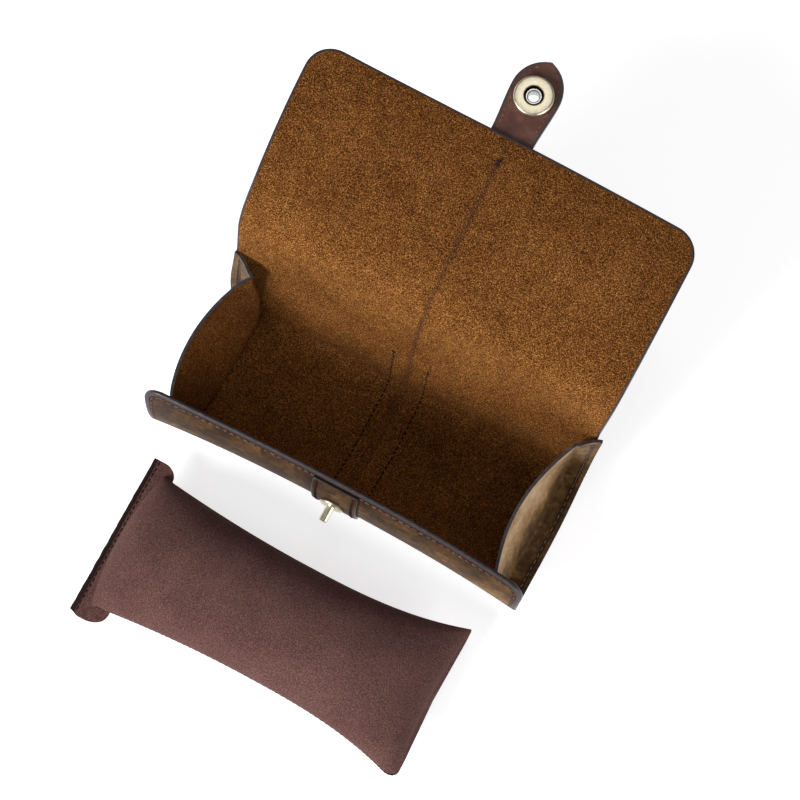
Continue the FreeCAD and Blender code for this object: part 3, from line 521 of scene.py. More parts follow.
def leather_sheet(name, columns, rows, place, rim_at, thickness, materials, edge=0.7 * MM, marks=None):
    """A flat grid laid out by place(u, v), given its thickness away from its first face, with its
    cut edges rounded and painted. rim_at(u, v) is the distance to the nearest cut edge, and each of
    marks(u, v), by its name, is how strongly a mark lies there, from 0 to 1: worked leather, and
    light or shade painted into the leather's colour."""
    bpy.ops.object.select_all(action="DESELECT")
    bpy.ops.mesh.primitive_grid_add(x_subdivisions=columns, y_subdivisions=rows, size=1)
    sheet = new_piece(name)
    flat = [(vertex.co.x + 0.5, vertex.co.y + 0.5) for vertex in sheet.data.vertices]
    for vertex, (u, v) in zip(sheet.data.vertices, flat):
        vertex.co = place(u, v)
    rim = sheet.data.attributes.new("rim", "FLOAT", "POINT")
    rim.data.foreach_set("value", [rim_at(u, v) / MM for u, v in flat])
    for mark_name, strength in (marks or {}).items():
        field = sheet.data.attributes.new(mark_name, "FLOAT", "POINT")
        field.data.foreach_set("value", [strength(u, v) for u, v in flat])
    for material in materials:
        sheet.data.materials.append(material)
    count = len(flat)
    apply_modifier(sheet, "SOLIDIFY", thickness=thickness, offset=-1.0, use_even_offset=True,
                   material_offset=1, material_offset_rim=2)
    rims = [value.value for value in sheet.data.attributes["rim"].data]

    def cut_edge(edge):
        first, second = (vertex.index for vertex in edge.verts)
        if (first < count) != (second < count) or len(edge.link_faces) != 2:
            return False
        if edge.calc_face_angle() < CUT_ANGLE:
            return False
        return rims[first] < ON_THE_RIM and rims[second] < ON_THE_RIM

    bevel_edges(sheet, cut_edge, edge, 3, 2)
    smooth(sheet)
    return sheet


def stitch_shape():
    """One stitch: a thread that rises out of its hole, lies along the seam and dips back."""
    bpy.ops.object.select_all(action="DESELECT")
    bpy.ops.mesh.primitive_uv_sphere_add(segments=8, ring_count=6, radius=1.0,
                                         rotation=(math.pi / 2, 0, 0))
    bpy.ops.object.transform_apply(rotation=True)
    shape = bpy.context.object
    points = [vertex.co.copy() for vertex in shape.data.vertices]
    faces = [tuple(face.vertices) for face in shape.data.polygons]
    bpy.data.objects.remove(shape)
    return points, faces


STITCH = stitch_shape()


def stitches(name, places, material, length=2.7 * MM, width=0.75 * MM, rise=0.42 * MM):
    """Many copies of the stitch, as one piece: each place is a matrix, which may stretch its stitch."""
    points, faces = STITCH
    vertices, polygons = [], []
    for place in places:
        start = len(vertices)
        for point in points:
            scaled = Vector((point.x * width / 2, point.y * length / 2, point.z * rise))
            vertices.append(place @ scaled)
        polygons.extend(tuple(start + index for index in face) for face in faces)
    mesh = bpy.data.meshes.new(name)
    mesh.from_pydata([tuple(v) for v in vertices], [], polygons)
    mesh.materials.append(material)
    piece = bpy.data.objects.new(name, mesh)
    bpy.context.scene.collection.objects.link(piece)
    smooth(piece, 80)
    return piece


def evenly(first, last, pitch):
    """Places from first to last, both kept, about that far apart."""
    count = max(1, round(abs(last - first) / pitch))
    return [first + (last - first) * index / count for index in range(count + 1)]


def jitter(seed, amount):
    """A small repeatable offset, so that sewing isn't ruler-straight."""
    return amount * noise.noise(Vector((seed * 7.31, seed * 1.7, 0.37)))


def lathe(name, outline, place, material, steps=64):
    """A ring of corners (radius, height) in half section, spun about Z and then put in place."""
    bpy.ops.object.select_all(action="DESELECT")
    bpy.ops.mesh.primitive_circle_add(vertices=len(outline), radius=1.0)
    piece = new_piece(name)
    for vertex, (radius, height) in zip(piece.data.vertices, outline):
        vertex.co = (radius * MM, 0.0, height * MM)
    bpy.ops.object.mode_set(mode="EDIT")
    bpy.ops.mesh.select_all(action="SELECT")
    bpy.ops.mesh.spin(steps=steps, angle=2 * math.pi, center=(0, 0, 0), axis=(0, 0, 1))
    bpy.ops.mesh.select_all(action="SELECT")
    bpy.ops.mesh.remove_doubles(threshold=MERGE)
    bpy.ops.mesh.normals_make_consistent(inside=False)
    bpy.ops.object.mode_set(mode="OBJECT")
    piece.data.transform(place)
    piece.data.materials.append(material)
    smooth(piece, 35)
    return piece


# Leather wrap and flap: two halves, each in three runs that meet where the leather stays stiff

WALL_CORNER = 9.0 * MM
FLAP_CORNER = 13.0 * MM
CUT_ROOT = (S_ROOT + S_MIDDLE) / 2
CUT_MIDDLE = (S_MIDDLE + S_FRONT) / 2
WRAP_FACES = (suede, grain, edge_paint)


def outline_distance(x, s):
    """Distance from a place on the wrap's flat hide to its outline, with rounded corners."""
    corner = WALL_CORNER if s < S_EDGE / 2 else FLAP_CORNER
    to_end = half_at(s) - abs(x)
    to_edge = min(s, S_EDGE - s)
    if to_end < corner and to_edge < corner:
        return corner - math.hypot(corner - to_end, corner - to_edge)
    return min(to_end, to_edge)


def round_hide_corner(x, s):
    """Draws the hide's corner squares in to their quarter rounds."""
    for edge, corner, towards in ((0.0, WALL_CORNER, 1), (S_EDGE, FLAP_CORNER, -1)):
        half = half_at(edge)
        a = (abs(x) - (half - corner)) / corner
        b = 1 - (s - edge) * towards / corner
        if a > 0 and b > 0:
            a, b = rounded_square(min(a, 1.0), min(b, 1.0))
            x = math.copysign(half - corner + a * corner, x)
            s = edge + towards * corner * (1 - b)
    return x, s


# Painted light: a highlight on the suede along the flap's bend, and on the front wall's grain a reflection
# low on its round, brightest at the right end
BEND_HIGHLIGHT_AT, BEND_HIGHLIGHT_WIDTH = S_ROOT + 14 * MM, 20 * MM
FRONT_LIGHT_AT, FRONT_LIGHT_WIDTH = 27 * MM, 12 * MM
FRONT_LIGHT_FROM, FRONT_LIGHT_RUN = 55 * MM, 40 * MM
FRONT_LIGHT_LEAST, FRONT_LIGHT_MORE = 0.05, 0.6
BURNISH_TO, BURNISH_FADE = 28 * MM, 14 * MM


def bend_highlight_hide(x, s):
    """Painted highlight on the suede, along the flap's bend, where the light falls on it."""
    return math.exp(-((s - BEND_HIGHLIGHT_AT) / BEND_HIGHLIGHT_WIDTH) ** 2)


def front_wall_painted_light(x, s):
    """The front wall's grain, drawn paler over its round and most at the right end: a painted
    reflection of the floor's light, and a painted highlight at the right end.
    """
    over_round = math.exp(-((s - FRONT_LIGHT_AT) / FRONT_LIGHT_WIDTH) ** 2)
    return over_round * (FRONT_LIGHT_LEAST + FRONT_LIGHT_MORE * eased((x - FRONT_LIGHT_FROM) / FRONT_LIGHT_RUN))


def burnished_hide(x, s):
    """The front wall's margin is burnished, along its top and down both ends."""
    return eased(1 - (s - BURNISH_TO) / BURNISH_FADE)


def hide_run(name, side, first, last, rows):
    """One run of one half of the wrap, from the middle seam to the roll's end."""
    def flat(u, v):
        s = first + (last - first) * v
        x = (u - 1.0) * half_at(s) if side == LEFT else u * half_at(s)
        return round_hide_corner(x, s)

    # Marks: a painted highlight along the flap's bend, paleness that is painted light with some pull-up,
    # the burnished margin, and a sewing crease whose dark line is partly painted shade.
    return leather_sheet(name, 42, rows, lambda u, v: on_hide(*flat(u, v)),
                         lambda u, v: outline_distance(*flat(u, v)), LEATHER, WRAP_FACES,
                         marks={"bend_highlight": lambda u, v: bend_highlight_hide(*flat(u, v)),
                                "pull_up_and_painted_light": lambda u, v: front_wall_painted_light(*flat(u, v)),
                                "burnished": lambda u, v: burnished_hide(*flat(u, v)),
                                "crease_and_groove_shade": lambda u, v: 1.0})


def blend_about(piece, before, after, s_line, reach_before, reach_after):
    """Bakes a piece's transform into its mesh; the piece is not bent across the flap's bend line."""
    start, end = (on_hide(0.0, s) for s in (s_line - reach_before, s_line + reach_after))
    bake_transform(piece)


ROOT_REACH = (7.0 * MM, 9.0 * MM)
MIDDLE_REACH = (11.0 * MM, 13.0 * MM)
FRONT_REACH = (16.0 * MM, 16.0 * MM)

for side, word in SIDES:
    body = hide_run(f"wrap_{word}_leather", side, 0.0, CUT_ROOT, 84)
    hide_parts(f"wrap_{word}")
    blend_about(body, "case", "flap_root", S_ROOT, *ROOT_REACH)
    root = hide_run(f"flap_root_{word}_leather", side, CUT_ROOT, CUT_MIDDLE, 22)
    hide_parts(f"flap_root_{word}", f"flap_middle_{word}")
    blend_about(root, "flap_root", "flap_middle", S_MIDDLE, *MIDDLE_REACH)
    front = hide_run(f"flap_front_{word}_leather", side, CUT_MIDDLE, S_EDGE, 34)
    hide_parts(f"flap_front_{word}")
    blend_about(front, "flap_middle", "flap_front", S_FRONT, *FRONT_REACH)


# Middle seam: close slanting stitches that draw the two halves together

SEAM_PITCH = 1.5 * MM
SEAM_TILT = 48.0
SEAM_START = 34 * MM
SEAM_END = S_EDGE - 13.0 * MM
SEAM_STITCH = (2.9 * MM, 0.45 * MM, 0.14 * MM)
SEAM_LIFT = 0.05 * MM
KNOT = Matrix.Diagonal((5.2, 0.75, 4.4, 1.0))
KNOTS = (SEAM_END - 0.7 * MM, SEAM_END + 0.9 * MM)


def seam_places(first, last):
    """Stitches across the seam, each tilted a little differently."""
    return [place_on_hide(jitter(s / MM, 0.2 * MM), s, SEAM_LIFT, True, SEAM_TILT + jitter(s / MM + 9, 9))
            for s in evenly(first, last, SEAM_PITCH)]


def knot_place(s):
    """A round knot where the thread was tied off."""
    return place_on_hide(jitter(s / MM, 1.2 * MM), s, 0.0, True) @ KNOT


def middle_seam(name, node_names, first, last, blend, knots=()):
    """One run of the seam, laid on the leather under it."""
    places = seam_places(first, last) + [knot_place(s) for s in knots]
    piece = stitches(name, places, seam_thread, *SEAM_STITCH)
    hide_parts(*node_names)
    blend_about(piece, *blend)


middle_seam("wrap_middle_seam", ("wrap_middle_stitches",), SEAM_START, CUT_ROOT - SEAM_PITCH / 2,
            ("case", "flap_root", S_ROOT, *ROOT_REACH))
middle_seam("flap_root_seam", ("flap_root_stitches", "flap_middle_stitches"), CUT_ROOT + SEAM_PITCH / 2,
            CUT_MIDDLE - SEAM_PITCH / 2, ("flap_root", "flap_middle", S_MIDDLE, *MIDDLE_REACH))
middle_seam("flap_front_seam", ("flap_front_stitches",), CUT_MIDDLE + SEAM_PITCH / 2, SEAM_END,
            ("flap_middle", "flap_front", S_FRONT, *FRONT_REACH), KNOTS)


# End gussets: a flange on the wrap's end, a fold, and a soft panel that stands up from it

GUSSET = 1.5 * MM
GUSSET_FIRST = 7.6 * MM
GUSSET_LAST = S_ROOT - 5.8 * MM
FOLD_ROUND = 1.6 * MM
FLANGE_ROWS, FOLD_ROWS, PANEL_ROWS = 6, 4, 18
GUSSET_ROWS = FLANGE_ROWS + FOLD_ROWS + PANEL_ROWS
FOLD_AT = {LEFT: 84.8 * MM, RIGHT: 89.8 * MM}
FLANGE_WIDTH = 10.0 * MM
PANEL_STEP = 2.6 * MM
FLANGE_CLEAR = 1.2 * MM
PEEL, PEEL_FROM, PEEL_POWER = 7.0 * MM, 0.76, 1.5
PEEL_AT_SEWING = 0.16
FOLD_PRESSED, FOLD_OPEN_AT = 0.15, 0.07
FRONT_LEAN, LEAN_POWER = 4.5 * MM, 1.3
SLUMP = {LEFT: 9.2 * MM, RIGHT: 7.5 * MM}
SLUMP_POWER = {LEFT: 0.7, RIGHT: 0.9}
PANEL_SAG = 2.0 * MM
PANEL_PULL_AND_LIGHT_LEAST, PANEL_PULL_AND_LIGHT_MORE = 0.26, 0.72
PANEL_PULL_AND_LIGHT_FROM, PANEL_PULL_AND_LIGHT_RUN = 0.02, 0.6
EDGE_PITCH = 3.6 * MM
GUSSET_MARGIN = 3.4 * MM


def gusset_slump(side, u, rise):
    """How far a panel stands to the left of its fold: both have slumped that way, as well-used leather
    does.
    """
    arch = math.sin(math.pi * u)
    top = FRONT_LEAN * (1 - u) + SLUMP[side] * arch ** SLUMP_POWER[side]
    return top * math.sin(rise * math.pi / 2) ** LEAN_POWER


def flange_start(x):
    """How far below the front wall's edge the flange begins, inside the wall's rounded corner."""
    into = (x - (CASE_HALF - WALL_CORNER)) / WALL_CORNER
    if into <= 0:
        return GUSSET_FIRST
    drop = WALL_CORNER * (1 - math.sqrt(max(0.0, 1 - min(1.0, into) ** 2)))
    return max(GUSSET_FIRST, drop + FLANGE_CLEAR)


def peeled(u):
    """How far the fold has come away from the back wall near its top."""
    return PEEL * eased((u - PEEL_FROM) / (1 - PEEL_FROM))


def fold_round(u):
    """Radius of the fold, which is pressed flat against the front wall."""
    return FOLD_ROUND * (FOLD_PRESSED + (1 - FOLD_PRESSED) * eased(u / FOLD_OPEN_AT))


def gusset_point(side, u, v):
    """Place on a gusset's grain face: u from the front to the back, v from the flange's edge to the top."""
    row = v * GUSSET_ROWS
    fold_x = FOLD_AT[side]
    radius = fold_round(u)
    s = GUSSET_FIRST + (GUSSET_LAST - GUSSET_FIRST) * u
    if row <= FLANGE_ROWS:
        half = half_at(s) if side == LEFT else CASE_HALF
        x = half + (fold_x + radius - half) * row / FLANGE_ROWS
        first = flange_start(x)
        away = GUSSET + peeled(u) * (row / FLANGE_ROWS) ** PEEL_POWER
        return on_hide(side * x, first + (GUSSET_LAST - first) * u, -away)
    if row <= FLANGE_ROWS + FOLD_ROWS:
        angle = (row - FLANGE_ROWS) / FOLD_ROWS * math.pi / 2
        x = fold_x + radius * (1 - math.sin(angle))
        return on_hide(side * x, s, -GUSSET - peeled(u) - radius * (1 - math.cos(angle)))
    rise = (row - FLANGE_ROWS - FOLD_ROWS) / PANEL_ROWS
    foot = on_hide(side * fold_x, s, -GUSSET - peeled(u) - radius)
    front = on_hide(side * fold_x, GUSSET_FIRST, -GUSSET - fold_round(0.0))
    back = on_hide(side * fold_x, GUSSET_LAST, -GUSSET - peeled(1.0) - FOLD_ROUND)
    top = front.lerp(back, u)
    top.z -= PANEL_SAG * math.sin(math.pi * u)
    place = foot.lerp(top, rise)
    place.x -= gusset_slump(side, u, rise)
    return place


def gusset_rim(u, v):
    """Distance to a gusset's cut edges: round the flange and along the panel's top."""
    row = v * GUSSET_ROWS
    on_flange = row <= FLANGE_ROWS + FOLD_ROWS
    flange_step = FLANGE_WIDTH / FLANGE_ROWS
    to_ends = min(u, 1 - u) * (GUSSET_LAST - GUSSET_FIRST) if on_flange else 1.0
    to_top = (GUSSET_ROWS - row) * PANEL_STEP
    return min(row * flange_step, to_ends, to_top)


def gusset_pull_up_and_painted_light(u, v):
    """The panel's grain drawn paler up from its foot: partly its own pull-up where the panel is
    bowed, partly a painted reflection of light on its outer face.
    """
    rise = (v * GUSSET_ROWS - FLANGE_ROWS - FOLD_ROWS) / PANEL_ROWS
    return PANEL_PULL_AND_LIGHT_LEAST + PANEL_PULL_AND_LIGHT_MORE * eased((rise - PANEL_PULL_AND_LIGHT_FROM) / PANEL_PULL_AND_LIGHT_RUN)


def gusset_crease_and_groove_shade(u, v):
    """The crease is pressed in along the flange only; its dark line is partly painted shade of its groove.
    """
    return eased(FLANGE_ROWS - v * GUSSET_ROWS)


GUSSET_FACES = (grain, suede, edge_paint)
for side, word in SIDES:
    def laid(u, v, side=side):
        return gusset_point(side, u if side == RIGHT else 1 - u, v)

    # The gusset's marks: paleness up the panel that is partly pull-up and partly painted light, and a
    # sewing crease whose dark line is partly painted shade.
    gusset = leather_sheet(f"gusset_{word}_leather", 110, GUSSET_ROWS, laid, gusset_rim, GUSSET,
                           GUSSET_FACES, edge=0.5 * MM,
                           marks={"pull_up_and_painted_light": gusset_pull_up_and_painted_light, "crease_and_groove_shade": gusset_crease_and_groove_shade})
    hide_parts(f"gusset_{word}")
    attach(gusset, "case")
    places = []
    for s in evenly(GUSSET_FIRST + 3 * MM, GUSSET_LAST - 3 * MM, EDGE_PITCH):
        half = half_at(s) if side == LEFT else CASE_HALF
        along = (s - GUSSET_FIRST) / (GUSSET_LAST - GUSSET_FIRST)
        lifted = GUSSET + PEEL_AT_SEWING * peeled(along)
        x = side * (half - GUSSET_MARGIN) + jitter(s / MM + side, 0.25 * MM)
        places.append(place_on_hide(x, s, -lifted, True))
    sewing = stitches(f"gusset_{word}_sewing", places, edge_thread)
    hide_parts(f"gusset_{word}_stitches")
    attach(sewing, "case")


# Front wall's edge stitching, round both corners

EDGE_MARGIN = 3.6 * MM
END_ROW_LAST = 22 * MM
CORNER_STITCHES = (25, 65)


def front_edge_places():
    """A row that keeps its distance from the wall's top edge and follows the rounded corners."""
    places = []
    inner = WALL_CORNER - EDGE_MARGIN
    straight = CASE_HALF - WALL_CORNER
    for x in evenly(-straight, straight, EDGE_PITCH):
        places.append(place_on_hide(x, EDGE_MARGIN + jitter(x / MM, 0.2 * MM), LEATHER, False, 90.0))
    for side in (LEFT, RIGHT):
        for angle in CORNER_STITCHES:
            turn = math.radians(angle)
            x = side * (straight + inner * math.sin(turn))
            s = WALL_CORNER - inner * math.cos(turn)
            places.append(place_on_hide(x, s, LEATHER, False, 90.0 - side * angle))
        for s in evenly(WALL_CORNER + 2 * MM, END_ROW_LAST, EDGE_PITCH):
            places.append(place_on_hide(side * (CASE_HALF - EDGE_MARGIN), s, LEATHER, False))
    return places


front_sewing = stitches("front_edge_sewing", front_edge_places(), edge_thread)
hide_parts("front_edge_stitches")
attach(front_sewing, "case")


# Base band: over the front wall, under the floor and a little up the back wall

BAND_HALF = 12.0 * MM
BAND = 1.6 * MM
BAND_TURN = 21.3
BAND_FIRST = WALL_RADIUS * MM * math.radians(WALL_TURN - BAND_TURN)
BAND_LAST = S_BACK + 29.0 * MM
BAND_ROW = BAND_HALF - 2.4 * MM
LEFT_ROW_LAST, RIGHT_ROW_LAST = S_BACK + 28 * MM, S_BACK + 25 * MM
INSIDE_PITCH, OUTSIDE_PITCH = 2.9 * MM, 2.0 * MM
OUTSIDE_TILT = 58.0
BAND_STITCH = (2.0 * MM, 1.1 * MM, 0.3 * MM)
BAND_KNOT = Matrix.Diagonal((1.5, 1.1, 1.6, 1.0))


def band_point(u, v):
    """Place on the band's grain face: u across it, v from the front wall to the back wall."""
    return on_hide((1 - 2 * u) * BAND_HALF, BAND_FIRST + (BAND_LAST - BAND_FIRST) * v, LEATHER + BAND)


def band_rim(u, v):
    """Distance to the band's cut edges."""
    return min(min(u, 1 - u) * 2 * BAND_HALF, min(v, 1 - v) * (BAND_LAST - BAND_FIRST))


band = leather_sheet("base_band_leather", 12, 80, band_point, band_rim, BAND, (grain, suede, brown_edge),
                     edge=0.4 * MM)
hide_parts("base_band")
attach(band, "case")

# Each row inside ends with a stitch sewn twice, and the left one with a knot
inside_rows = [place_on_hide(x + jitter(s / MM + x * 900, 0.2 * MM), s, 0.0, True)
               for x, last in ((-BAND_ROW, LEFT_ROW_LAST), (BAND_ROW, RIGHT_ROW_LAST))
               for s in [*evenly(SEAM_START, last, INSIDE_PITCH), last - 0.9 * MM]]
tied_off = place_on_hide(-BAND_ROW - 0.3 * MM, LEFT_ROW_LAST + 0.4 * MM, 0.0, True, 70.0)
inside_rows.append(tied_off @ BAND_KNOT)
outside_rows = [place_on_hide(x, s, LEATHER + BAND, False, OUTSIDE_TILT)
                for x in (-BAND_ROW, BAND_ROW)
                for s in evenly(BAND_FIRST + 2 * MM, BAND_LAST - 3 * MM, OUTSIDE_PITCH)]
band_sewing = stitches("base_band_sewing", inside_rows + outside_rows, band_thread, *BAND_STITCH)
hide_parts("band_stitches")
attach(band_sewing, "case")


# Closing tab and its snap

tab_heading = section_at(S_EDGE)[2]
TAB_TURN = Matrix.Rotation(tab_heading, 4, "X")
TAB_PLACE = Matrix.Translation(Vector((0.0, *section_at(S_EDGE)[:2]))) @ TAB_TURN
TAB_FOOT_HALF, TAB_HALF = 10.5 * MM, 12.0 * MM
TAB_SHOULDER = 24.0 * MM
TAB_TIP = 39.5 * MM
TAB_LAYER = 1.6 * MM
TAB_START = -3.0 * MM
TAB_BLUNT = 0.6 * MM
TAB_FOLD = 8.0 * MM
TAB_INSET, TAB_PITCH = 2.4 * MM, 2.9 * MM
SNAP_OFFSET = 21.5 * MM
SNAP_CLEAR = 9.6 * MM
RIVET_HOLE = 3.3 * MM


def tab_half_width(y):
    """Half the tab's width: straight sides, then arcs to a blunt point."""
    if y <= TAB_SHOULDER:
        return TAB_FOOT_HALF + (TAB_HALF - TAB_FOOT_HALF) * eased(max(0.0, y) / TAB_SHOULDER)
    rise = TAB_TIP - TAB_SHOULDER
    radius = (TAB_HALF ** 2 + rise ** 2) / (2 * TAB_HALF)
    return max(0.0, TAB_HALF - radius + math.sqrt(max(0.0, radius ** 2 - (y - TAB_SHOULDER) ** 2)))


def punch_rivet_hole(layer):
    """Cuts the hole that the hollow rivet passes through."""
    bpy.ops.object.select_all(action="DESELECT")
    bpy.ops.mesh.primitive_cylinder_add(vertices=40, radius=RIVET_HOLE, depth=20 * MM)
    punch = bpy.context.object
    punch.data.transform(TAB_PLACE @ Matrix.Translation((0.0, SNAP_OFFSET, 0.0)))
    punch.data.materials.append(edge_paint)
    apply_modifier(layer, "BOOLEAN", operation="DIFFERENCE", object=punch, solver="EXACT")
    bpy.data.objects.remove(punch)


def tab_layer(name, level, faces, node_name):
    """One layer of the tab, from under the flap's edge to the point."""
    def flat(u, v):
        y = TAB_START + (TAB_TIP - TAB_START) * math.sin(v * math.pi / 2)
        return (2 * u - 1) * max(tab_half_width(y), TAB_BLUNT), y

    def place(u, v):
        x, y = flat(u, v)
        return TAB_PLACE @ Vector((x, y, level))

    def rim(u, v):
        x, y = flat(u, v)
        side = (tab_half_width(y) - abs(x)) * (1.0 if y < TAB_SHOULDER else 0.8)
        return max(0.0, min(side, (TAB_TIP - y) * 1.2))

    layer = leather_sheet(name, 16, 30, place, rim, TAB_LAYER, faces, edge=0.45 * MM)
    punch_rivet_hole(layer)
    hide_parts(node_name)
    start, end = (TAB_PLACE @ Vector((0.0, y, level)) for y in (0.0, TAB_FOLD))
    tuple(start)
    tuple(end)
    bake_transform(layer)


tab_layer("tab_lining_leather", -LEATHER, (lining, suede, edge_paint), "tab_lining")
tab_layer("tab_outer_leather", -LEATHER - TAB_LAYER, (suede, grain, edge_paint), "tab_outer")

ROOT_TURN = 14.0
ROOT_RUN = SWEEP_RADIUS * MM * math.radians(ROOT_TURN)
ROOT_GAP = 0.2 * MM


def root_point(u, v):
    """Place on the root's grain face: u across it, v from its sewn end to the flap's edge."""
    s = S_EDGE - ROOT_RUN * (1 - v) - ROOT_GAP
    return on_hide((1 - 2 * u) * TAB_FOOT_HALF, s, LEATHER + TAB_LAYER)


def root_rim(u, v):
    """Distance to the root's cut edges: its two sides and its sewn end."""
    return min(min(u, 1 - u) * 2 * TAB_FOOT_HALF, v * ROOT_RUN)


tab_root = leather_sheet("tab_root_leather", 12, 22, root_point, root_rim, TAB_LAYER,
                         (grain, suede, edge_paint), edge=0.5 * MM)
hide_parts("tab_root")
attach(tab_root, "flap_front")


def tab_sewing_places():
    """A row inside the lining's edge, up each side and in to the point, but not under the snap."""
    places = []
    for side in (LEFT, RIGHT):
        for y in evenly(2.5 * MM, TAB_TIP - 4.5 * MM, TAB_PITCH):
            half = tab_half_width(y) - TAB_INSET * (1.0 if y < TAB_SHOULDER else 1.15)
            ahead = tab_half_width(y + 0.5 * MM) - tab_half_width(y - 0.5 * MM)
            turn = Matrix.Rotation(-side * math.atan2(ahead, 1.0 * MM), 4, "Z")
            if math.hypot(half, y - SNAP_OFFSET) > SNAP_CLEAR:
                places.append(TAB_PLACE @ Matrix.Translation((side * half, y, -LEATHER)) @ turn)
    return places


tab_sewing = stitches("tab_sewing", tab_sewing_places(), edge_thread, 2.2 * MM, 0.7 * MM)
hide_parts("tab_stitches")
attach(tab_sewing, "tab")

SNAP_PLACE = TAB_PLACE @ Matrix.Translation((0.0, SNAP_OFFSET, -LEATHER))
# Half sections of the snap and the stud: corners by radius and height, in millimetres
CUP_MOUTH = 4.45
CUP = ((4.4, 3.0), (4.5, 3.28), (4.7, 3.38), (4.95, 3.40), (8.2, 3.37), (8.5, 3.32), (8.95, 3.05),
       (9.2, 2.5), (9.3, 1.7), (9.3, 0.25), (9.0, 0.0), (3.4, 0.0), (3.4, 0.3), (4.2, 0.3), (4.4, 0.6))
cup = lathe("snap_cup_brass", CUP, SNAP_PLACE, brass)
cup.data.materials.append(tarnish_and_painted_shade)
to_axis = SNAP_PLACE.inverted()
# Faces inside the cup's mouth take the dark brass: partly tarnish, partly painted shade of the gap.
for face in cup.data.polygons:
    if (to_axis @ face.center).xy.length < CUP_MOUTH * MM:
        face.material_index = 1
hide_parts("snap_cup")
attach(cup, "tab")
RIVET = ((2.5, -4.4), (4.0, -4.4), (4.0, -3.8), (3.2, -3.8), (3.2, 1.0), (3.65, 1.2), (3.7, 1.5),
         (3.5, 1.75), (3.0, 1.8), (2.65, 1.65), (2.5, 1.3))
rivet = lathe("snap_rivet_steel", RIVET, SNAP_PLACE, nickel)
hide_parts("snap_rivet")
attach(rivet, "tab")


# Stud on the front wall

STUD_LEAN = math.radians(5.0)
STUD_FACE = Vector((0.0, -45.837, 37.485)) * MM
STUD_PLACE = Matrix.Translation(STUD_FACE) @ Matrix.Rotation(math.pi / 2 - STUD_LEAN, 4, "X")
DISC = ((1.6, -1.4), (6.0, -1.4), (6.2, -1.1), (6.2, -0.5), (5.9, -0.15), (5.3, 0.0), (1.6, 0.0))
disc = lathe("stud_disc_brass", DISC, STUD_PLACE, brass)
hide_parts("stud_disc")
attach(disc, "case")
POST = ((0.0, -6.4), (2.2, -6.4), (2.2, -5.8), (1.5, -5.8), (1.5, 0.0), (2.5, 0.0), (2.2, 0.5),
        (2.2, 7.2), (2.05, 7.7), (1.65, 7.95), (0.0, 8.0))
post = lathe("stud_post_brass", POST, STUD_PLACE, brass, 40)
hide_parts("stud_post")
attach(post, "case")

for node_name, metal in (("stud_washer", nickel), ("snap_magnet", magnet), ("snap_washer", nickel)):
    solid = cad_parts[node_name]
    solid.data.materials.clear()
    solid.data.materials.append(metal)


# Watch pillow: a stuffed sleeve, round in the middle, pinched flat at both ends

PILLOW_Y = -105.0 * MM
PILLOW_LEFT, PILLOW_RIGHT = -83.0 * MM, 88.2 * MM
PILLOW_SLACK = 0.94
PILLOW_WAIST = 30.6 * MM
LEFT_WIDER, LEFT_POWER = 5.4 * MM, 2.0
RIGHT_WIDER, RIGHT_POWER = 10.6 * MM, 2.8
EAR_FROM, EAR_CUT, EAR_POWER = 0.9, 5.0 * MM, 2.6
END_RISE, FULL_RISE = 1.1 * MM, 20.7 * MM
END_LEVEL, FULL_LEVEL = 13.2 * MM, 8.8 * MM
LEFT_FULL_POWER, RIGHT_FULL_POWER = 5.4, 3.0
LEFT_BULGE, LEFT_BULGE_POWER = 3.6 * MM, 5
RIGHT_DRAWN_IN, RIGHT_DRAWN_POWER = 3.4 * MM, 7
ROUND_POWER, PINCH, PINCH_POWER = 0.5, 0.22, 5
CLOSER_AT_ENDS = 1.3
SEWN_FROM = 0.97
SWELL_LIMIT = 5.0 * MM
CLOTH_FRAMES = 20
TABLE_CLEAR = 0.1 * MM


def pillow_half_width(u, across):
    """Half the sleeve's width: a waist, a wider sewn left end, and ears at the right end. The front
    ear is rounded off, the back one stays pointed."""
    half = PILLOW_WAIST + (LEFT_WIDER * (-u) ** LEFT_POWER if u < 0 else RIGHT_WIDER * u ** RIGHT_POWER)
    if u > EAR_FROM and across < 0:
        half -= EAR_CUT * ((u - EAR_FROM) / (1 - EAR_FROM)) ** EAR_POWER
    return half


def pillow_point(u, around):
    """Place on the pillow: u from end to end, around from 0 to 1 about its length."""
    angle = 2 * math.pi * around
    across = math.cos(angle)
    fullness = math.sqrt(max(0.0, 1 - abs(u) ** (LEFT_FULL_POWER if u < 0 else RIGHT_FULL_POWER)))
    rise = (END_RISE + FULL_RISE * fullness) * PILLOW_SLACK
    level = END_LEVEL + FULL_LEVEL * fullness
    crown = max(0.0, 1 - across * across) ** (ROUND_POWER + PINCH * abs(u) ** PINCH_POWER)
    x = (PILLOW_LEFT + PILLOW_RIGHT) / 2 + u * (PILLOW_RIGHT - PILLOW_LEFT) / 2
    x -= RIGHT_DRAWN_IN * max(0.0, u) ** RIGHT_DRAWN_POWER * (1 - across * across)
    x -= LEFT_BULGE * max(0.0, -u) ** LEFT_BULGE_POWER * (1 - across * across)
    height = math.copysign(crown, math.sin(angle))
    return Vector((x, PILLOW_Y + across * pillow_half_width(u, across), level + rise * height))


